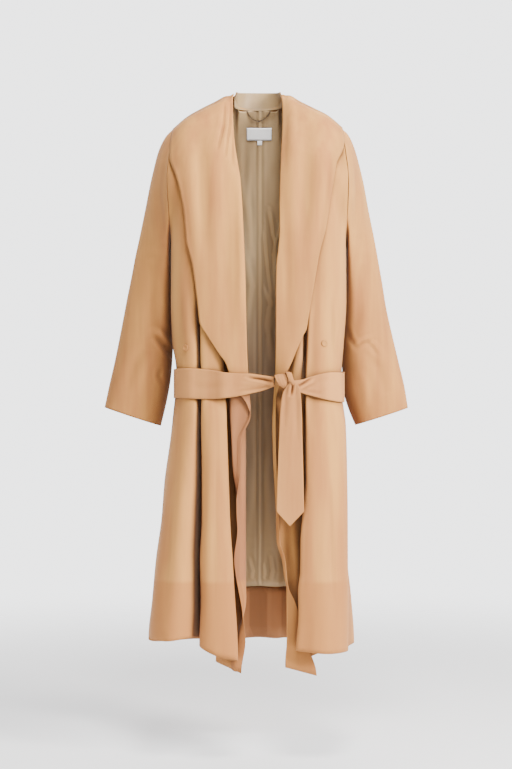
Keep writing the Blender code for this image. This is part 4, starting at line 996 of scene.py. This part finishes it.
sash = {
    "wall": 1.8, "bandRows": 16, "bandSteps": 6, "endReach": 6, "wobble": 0.5,
    "tailSteps": 8, "pointSteps": 10, "tailColumns": 20,
    "band": (               # from the knot round the waist: x, y, and z of the upper and lower edge
        (33, -127, -583, -602), (12, -122, -580, -610), (-18, -118, -576, -618), (-42, -117, -575, -623),
        (-70, -116, -573, -627), (-92, -108, -569, -629), (-117, -101, -566, -629), (-148, -91, -564, -628),
        (-172, -62, -565, -627), (-180, -20, -566, -628), (-178.5, 26, -566, -628), (-167, 55, -567, -629),
        (-132, 80, -567, -629), (-92, 93, -567, -629), (-48, 97, -567, -629), (0, 95, -567, -629),
        (48, 97, -567, -629), (92, 93, -567, -629), (132, 80, -567, -629), (170, 55, -568, -630),
        (180, 26, -570, -632), (183.5, -20, -572, -635), (175, -63, -573, -636), (150, -90, -573, -632),
        (128, -98, -577, -627), (110, -103, -582, -622), (92, -110, -588, -617), (78, -119, -590, -611),
        (70, -127, -591, -606)),
    "knotCentre": (51, -130, -591), "knotRadii": (18, 13, 16), "knotClearance": 1.8,
    "tail": (               # z, x of both edges and y, down to the point
        (-590, 68, 71, -143), (-593.5, 65, 76, -144.5), (-598, 61, 80, -143), (-607, 55, 85, -139.5),
        (-615, 51, 87, -137), (-624, 48.5, 88, -135), (-655, 45, 90, -129), (-700, 43, 91, -125),
        (-775, 40, 93, -123), (-862, 37, 95, -122), (-892, 65, 66, -122)),
    "underTail": (
        (-606, 50, 62, -123.5), (-618, 50, 75, -118), (-640, 50, 84, -114), (-720, 46, 86, -113),
        (-800, 44, 88, -112), (-836, 62, 66, -112)),
    "creases": (
        (2.6, -4.5, ((-20, -584), (8, -588), (38, -595)), 0.5),
        (4, 1.6, ((-40, -596), (0, -596), (38, -597))),
        (3.5, -2.2, ((-44, -612), (0, -607), (38, -599))),
        (3, 1.6, ((-20, -578), (12, -581), (38, -586))),
        (8, -1.0, ((-150, -600), (-110, -603), (-60, -598))),
        (2.6, -4.0, ((80, -604), (95, -595), (112, -585))),
        (3, 2.0, ((84, -608), (100, -599), (118, -591))),
        (3, 1.4, ((72, -596), (86, -592), (100, -583))),
        (4, -1.4, ((92, -612), (112, -614), (134, -618))),
        (7, -1.0, ((110, -592), (140, -588), (170, -586))),
    ),
    "backCreases": (
        (6, -1.0, ((-120, -586), (-60, -590), (0, -588))),
        (6, -1.0, ((20, -606), (80, -608), (140, -604))),
    ),
    "tailCreases": (
        (2.4, -5.0, ((71, -594), (70, -604), (68, -620)), 0.4),
        (3, 1.6, ((64, -600), (62, -612), (60, -630))),
        (5, -1.4, ((63, -600), (57, -630), (55, -690))),
        (5, -1.2, ((76, -600), (81, -640), (82, -720))),
        (12, 1.0, ((68, -640), (67, -740), (66, -850))),
    ),
    # each wrap of the knot lies between two edges, from behind the top to behind the bottom
    "wraps": (
        {"left": ((34, -118, -588), (33, -130, -580), (34, -139, -584), (39, -142, -594),
                  (47, -139, -602), (55, -131, -607), (59, -120, -603)),
         "right": ((60, -117, -586), (58, -129, -578), (58, -139, -581), (59, -143, -590),
                   (60, -141, -598), (62, -133, -604), (64, -120, -603))},
        {"left": ((55, -117, -584), (55.5, -131, -574), (58, -143, -577), (61, -147.5, -585),
                  (65, -148, -592), (70, -143, -599), (74, -128, -600)),
         "right": ((69, -117, -586), (67, -131, -575), (69, -142, -577), (71, -147, -584),
                   (73, -147, -590), (76, -142, -596), (78, -128, -598))},
    ),
    "wrapWall": 2.0, "wrapBow": 1.2, "wrapPleat": 0.25, "wrapPleats": 6, "wrapSteps": 10, "wrapColumns": 14,
    "coreShare": 0.8,       # the core's size against the knot's radii
    "coreSegments": 64, "coreRings": 48, "corePleat": 0.04, "corePleats": 9, "coreSlant": 0.4,
}


def knotReach(y, z):
    depthShare = (y - sash["knotCentre"][1]) / sash["knotRadii"][1]
    heightShare = (z - sash["knotCentre"][2]) / sash["knotRadii"][2]
    return sash["knotRadii"][0] * math.sqrt(max(0, 1 - depthShare ** 2 - heightShare ** 2))


def makeBand():
    # rows between the band's two edges, all round the waist, ending at the knot
    steps = [sash["bandSteps"]] * (len(sash["band"]) - 1)
    upper = smoothPath([(x, y, top) for x, y, top, _ in sash["band"]], steps)
    lower = smoothPath([(x, y, bottom) for x, y, _, bottom in sash["band"]], steps)
    rows = []
    for r in range(sash["bandRows"] + 1):
        row = [a.lerp(b, r / sash["bandRows"]) for a, b in zip(upper, lower)]
        for end, sign in ((0, -1), (-1, 1)):
            reach = knotReach(row[end].y, row[end].z) + sash["knotClearance"]
            row[end].x = sash["knotCentre"][0] + sign * max(reach, sash["endReach"])
        rows.append(row)
    grid = pressCreases(toGrid(rows), sash["creases"], -1, sash["wobble"], around=True)
    grid = pressCreases(grid, sash["backCreases"], 1, 0, around=True)
    return dress(sheetMesh("sashBand", grid, sash["wall"], sashCamel), "camel_twill", "sash_band")


def makeTail(name, table, creases, node):
    # smooth sides down to the corners, then straight edges to the point
    sides = []
    for column in (1, 2):
        *path, point = [Vector((row[column], row[3], row[0])) for row in table]
        path = smoothPath(path, [sash["tailSteps"]] * (len(path) - 1))
        shares = [step / sash["pointSteps"] for step in range(1, sash["pointSteps"] + 1)]
        sides.append(path + [path[-1].lerp(point, share) for share in shares])
    shares = [step / sash["tailColumns"] for step in range(sash["tailColumns"] + 1)]
    rows = [[a.lerp(b, share) for share in shares] for a, b in zip(*sides)]
    grid = pressCreases(toGrid(rows), creases, -1, sash["wobble"])
    return dress(sheetMesh(name, grid, sash["wall"], sashCamel), "camel_twill", node)


def wrapGrid(wrap):
    # a wrap of cloth between its two edges, bowed away from the knot's middle
    steps = [sash["wrapSteps"]] * (len(wrap["left"]) - 1)
    centre = Vector(sash["knotCentre"])
    rows = []
    for left, right in zip(smoothPath(wrap["left"], steps), smoothPath(wrap["right"], steps)):
        row = []
        for step in range(sash["wrapColumns"] + 1):
            share = step / sash["wrapColumns"]
            point = left.lerp(right, share)
            out = Vector((0, point.y - centre.y, point.z - centre.z)).normalized()
            pleat = sash["wrapPleat"] * math.cos(sash["wrapPleats"] * math.pi * share)
            row.append(point + out * sash["wrapBow"] * (math.sin(math.pi * share) + pleat))
        rows.append(row)
    return toGrid(rows)


def makeKnot():
    # a tight core that both parts of the sash run into, and two wraps of cloth over it
    bm = bmesh.new()
    bmesh.ops.create_uvsphere(bm, u_segments=sash["coreSegments"], v_segments=sash["coreRings"], radius=1)
    centre, radii = Vector(sash["knotCentre"]), sash["knotRadii"]
    for vert in bm.verts:
        x, y, z = vert.co
        pleat = 1 + sash["corePleat"] * math.cos(sash["corePleats"] * (z + sash["coreSlant"] * x))
        vert.co = centre + Vector((x * radii[0], y * radii[1], z * radii[2])) * sash["coreShare"] * pleat
    verts = [tuple(vert.co) for vert in bm.verts]
    faces = [[vert.index for vert in face.verts] for face in bm.faces]
    bm.free()
    for wrap in sash["wraps"]:
        shellVerts, shellFaces = sheetShell(wrapGrid(wrap), sash["wrapWall"])
        faces += [[len(verts) + index for index in face] for face in shellFaces]
        verts += [tuple(vert) for vert in shellVerts]
    return dress(finishMesh("sashKnot", verts, faces, sashCamel), "camel_twill", "sash_knot")


bandPiece = makeBand()
knotPiece = makeKnot()
tailPiece = makeTail("sashTail", sash["tail"], sash["tailCreases"], "sash_tail")
underTailPiece = makeTail("sashUnderTail", sash["underTail"], (), "sash_under_tail")
print("sash made")


trims = {
    "labelX": (-25, 29), "labelZ": (-38, -64), "labelCurl": 0.8, "sizeX": (-2, 8), "sizeZ": (-65, -74),
    "sizeCurl": 0.4, "labelWall": 0.6, "labelLift": 2.4, "labelRows": 8, "labelColumns": 16,
    "chain": ((-24, -4), (-21, -11), (-15, -18), (-8, -22), (0, -24), (8, -22), (15, -18), (22, -11),
              (26, -4)),
    "chainLift": 3.2, "chainSteps": 8, "linkLength": 4.4, "linkWidth": 2.6, "linkOverlap": 2.4, "wire": 0.45,
    "linkTurn": 0.35, "linkSteps": 20, "wireSides": 8,
    "rightButton": (-152, -521), "leftButton": (138, -512), "buttonRadius": 7, "buttonLift": 1.5,
    "buttonSides": 40,
    # radius and height from the middle of the dished top, over the rolled rim, to the flat underside
    "buttonProfile": ((0.01, 1.1), (2.4, 1.15), (4.0, 1.4), (4.8, 1.9), (5.6, 2.0), (6.4, 1.75), (6.95, 1.1),
                      (6.9, 0.4), (6.2, 0.0), (0.01, 0.0)),
}


def liningDepth(x, z):
    # depth of the lining's middle at a place on it, before any crease
    line = []
    for level in liningLevels:
        row = insetBackRow(level, back["liningInset"], back["seamDrop"], spanSteps=2)
        near = min(range(len(row) - 1), key=lambda i: abs((row[i].x + row[i + 1].x) / 2 - x))
        a, b = row[near], row[near + 1]
        line.append(a.lerp(b, (x - a.x) / (b.x - a.x)))
        if line[-1].z < z:
            break
    a, b = line[max(len(line) - 2, 0)], line[-1]
    if a.z - b.z < 0.01:    # the place lies above the first row
        return b.y
    return a.y + (b.y - a.y) * (z - a.z) / (b.z - a.z)


def makeLabel(name, xRange, zRange, node, curl):
    rows = []
    for r in range(trims["labelRows"] + 1):
        down = r / trims["labelRows"]
        z = zRange[0] + (zRange[1] - zRange[0]) * down
        row = []
        for i in range(trims["labelColumns"] + 1):
            along = i / trims["labelColumns"]
            x = xRange[0] + (xRange[1] - xRange[0]) * along
            sag = curl * math.sin(math.pi * along) * math.sin(math.pi * down)
            row.append((x, liningDepth(x, z) - trims["labelLift"] - sag, z))
        rows.append(row)
    return dress(sheetMesh(name, rows, trims["labelWall"], labelWhite), "label_cloth", node)


def makeChain():
    # oval links set along a curve in front of the lining, each second one turned
    points = [(x, liningDepth(x, z) - trims["chainLift"], z) for x, z in trims["chain"]]
    path = smoothPath(points, [trims["chainSteps"]] * (len(points) - 1))
    lengths = [0]
    for a, b in zip(path, path[1:]):
        lengths.append(lengths[-1] + (b - a).length)
    count = int(lengths[-1] / (trims["linkLength"] - trims["linkOverlap"] * trims["wire"]))
    verts, faces = [], []
    for k in range(count):
        place = (k + 0.5) / count * lengths[-1]
        index = next(i for i in range(len(path) - 1) if lengths[i + 1] >= place)
        start, end = path[index], path[index + 1]
        along = (end - start).normalized()
        centre = start.lerp(end, (place - lengths[index]) / (lengths[index + 1] - lengths[index]))
        away = Vector((0, 1, 0))
        across = along.cross(away).normalized()
        side = across if k % 2 else away.lerp(across, trims["linkTurn"]).normalized()
        addLink(verts, faces, centre, along, side)
    return dress(finishMesh("hangerChain", verts, faces, gunmetal), "gunmetal", "hanger_chain")


def addLink(verts, faces, centre, along, side):
    around, section = trims["linkSteps"], trims["wireSides"]
    out = along.cross(side).normalized()
    first = len(verts)
    halfLength, halfWidth = trims["linkLength"] / 2 - trims["wire"], trims["linkWidth"] / 2 - trims["wire"]
    for i in range(around):
        angle = 2 * math.pi * i / around
        middle = centre + along * (halfLength * math.cos(angle)) + side * (halfWidth * math.sin(angle))
        away = (along * (halfWidth * math.cos(angle)) + side * (halfLength * math.sin(angle))).normalized()
        for j in range(section):
            turn = 2 * math.pi * j / section
            verts.append(tuple(middle + (away * math.cos(turn) + out * math.sin(turn)) * trims["wire"]))
    for i in range(around):
        for j in range(section):
            a, b = first + i * section, first + (i + 1) % around * section
            faces.append((a + j, a + (j + 1) % section, b + (j + 1) % section, b + j))


def makeButton(name, place, front, node):
    # set flat on the front's own slope, found from the cloth just above and just below it
    x, z = place
    places = []
    for level in (z + trims["buttonRadius"], z - trims["buttonRadius"]):
        row = frontRow(front, level, spanSteps=2)[0]
        index = next(i for i, point in enumerate(row) if abs(point.x) < abs(x))
        before, after = row[index - 1], row[index]
        places.append(before.lerp(after, (x - before.x) / (after.x - before.x)))
    normal = (after - before).cross(places[0] - places[1]).normalized()
    if normal.y > 0:
        normal = -normal
    centre = (places[0] + places[1]) / 2 + normal * trims["buttonLift"]
    side = normal.cross(Vector((0, 0, 1))).normalized()
    up = side.cross(normal)
    profile, sides = trims["buttonProfile"], trims["buttonSides"]
    verts, faces = [], []
    for radius, height in profile:
        for i in range(sides):
            angle = 2 * math.pi * i / sides
            out = side * math.cos(angle) + up * math.sin(angle)
            verts.append(tuple(centre + out * radius + normal * height))
    for r in range(len(profile) - 1):
        for i in range(sides):
            j = (i + 1) % sides
            faces.append((r * sides + i, r * sides + j, (r + 1) * sides + j, (r + 1) * sides + i))
    faces.append(tuple(range(sides)))
    faces.append(tuple(range((len(profile) - 1) * sides, len(profile) * sides)))
    return dress(finishMesh(name, verts, faces, buttonCamel), "covered_button", node)


neckLabelPiece = makeLabel("neckLabel", trims["labelX"], trims["labelZ"], "neck_label", trims["labelCurl"])
sizeLabelPiece = makeLabel("sizeLabel", trims["sizeX"], trims["sizeZ"], "size_label", trims["sizeCurl"])
makeChain()
makeButton("rightButton", trims["rightButton"], rightFront, "right_button")
makeButton("leftButton", trims["leftButton"], leftFront, "left_button")
print("trims made")


studio = {
    "floorLevel": -1400, "floorRadius": 3.0, "floorEdge": (0.35, 0.98), "floorSegments": 96,
    "floorColor": (0.93, 0.93, 0.94, 1), "floorRoughness": 0.9, "floorSpecular": 0.1,
    "background": (0.985, 0.99, 1.0, 1), "wallStrength": 3.3, "roomStrength": 0.42, "wallEdge": (-0.2, 0.9),
    # each light's place, size, power, colour and the place it is aimed at
    "lights": {
        "key": ((2.7, -2.3, 0.7), 1.2, 305, (1, 0.97, 0.93), (0, 0, -0.6)),
        "fill": ((0.3, -4.4, 0.3), 1.2, 40, (0.95, 0.97, 1), (0, 0, -0.6)),
        "top": ((0.25, -1.5, 1.5), 0.8, 85, (1, 0.99, 0.97), (0, 0, -0.15)),
    },
    "cameraPlace": (-0.005, -3.5, -0.5985), "lens": 76.2, "sensor": 36,
}


def makeFloor():
    bm = bmesh.new()
    bmesh.ops.create_circle(bm, cap_ends=True, segments=studio["floorSegments"], radius=studio["floorRadius"])
    mesh = bpy.data.meshes.new("floor")
    bm.to_mesh(mesh)
    bm.free()
    floor = bpy.data.objects.new("floor", mesh)
    floor.location.z = studio["floorLevel"] * mm
    bpy.context.scene.collection.objects.link(floor)
    material, tree, shader, place = startMaterial("pale floor", {
        "Base Color": studio["floorColor"], "Roughness": studio["floorRoughness"],
        "Specular IOR Level": studio["floorSpecular"]})
    # the floor runs out softly into the background
    length = addNode(tree, "ShaderNodeVectorMath", operation="LENGTH")
    tree.links.new(place, length.inputs[0])
    start, end = (share * studio["floorRadius"] for share in studio["floorEdge"])
    edge = addRange(tree, length.outputs["Value"], start, end, 1.0, 0.0)
    tree.links.new(edge, shader.inputs["Alpha"])
    mesh.materials.append(material)


def makeLight(name, place, size, power, color, aim):
    lamp = bpy.data.lights.new(name, "AREA")
    lamp.shape = "DISK"
    lamp.size = size
    lamp.energy = power
    lamp.color = color
    light = bpy.data.objects.new(name, lamp)
    light.location = place
    light.rotation_euler = (Vector(aim) - Vector(place)).to_track_quat("-Z", "Y").to_euler()
    bpy.context.scene.collection.objects.link(light)


def makeWorld():
    # a bright wall behind the coat, and a softer room on the side that faces it
    world = bpy.data.worlds.new("studio")
    world.use_nodes = True
    tree = world.node_tree
    background = tree.nodes["Background"]
    background.inputs["Color"].default_value = studio["background"]
    place = addNode(tree, "ShaderNodeTexCoord").outputs["Generated"]
    depth = addNode(tree, "ShaderNodeSeparateXYZ", Vector=place).outputs["Y"]
    wall = addRange(tree, depth, *studio["wallEdge"], studio["roomStrength"], studio["wallStrength"])
    tree.links.new(wall, background.inputs["Strength"])
    bpy.context.scene.world = world


def makeCamera():
    camera = bpy.data.cameras.new("camera")
    camera.lens = studio["lens"]
    camera.sensor_width = studio["sensor"]
    view = bpy.data.objects.new("camera", camera)
    view.location = studio["cameraPlace"]
    view.rotation_euler = (math.radians(90), 0, 0)
    bpy.context.scene.collection.objects.link(view)
    bpy.context.scene.camera = view


makeFloor()
makeWorld()
for lightName, lightValues in studio["lights"].items():
    makeLight(lightName, *lightValues)
makeCamera()
print("studio made")
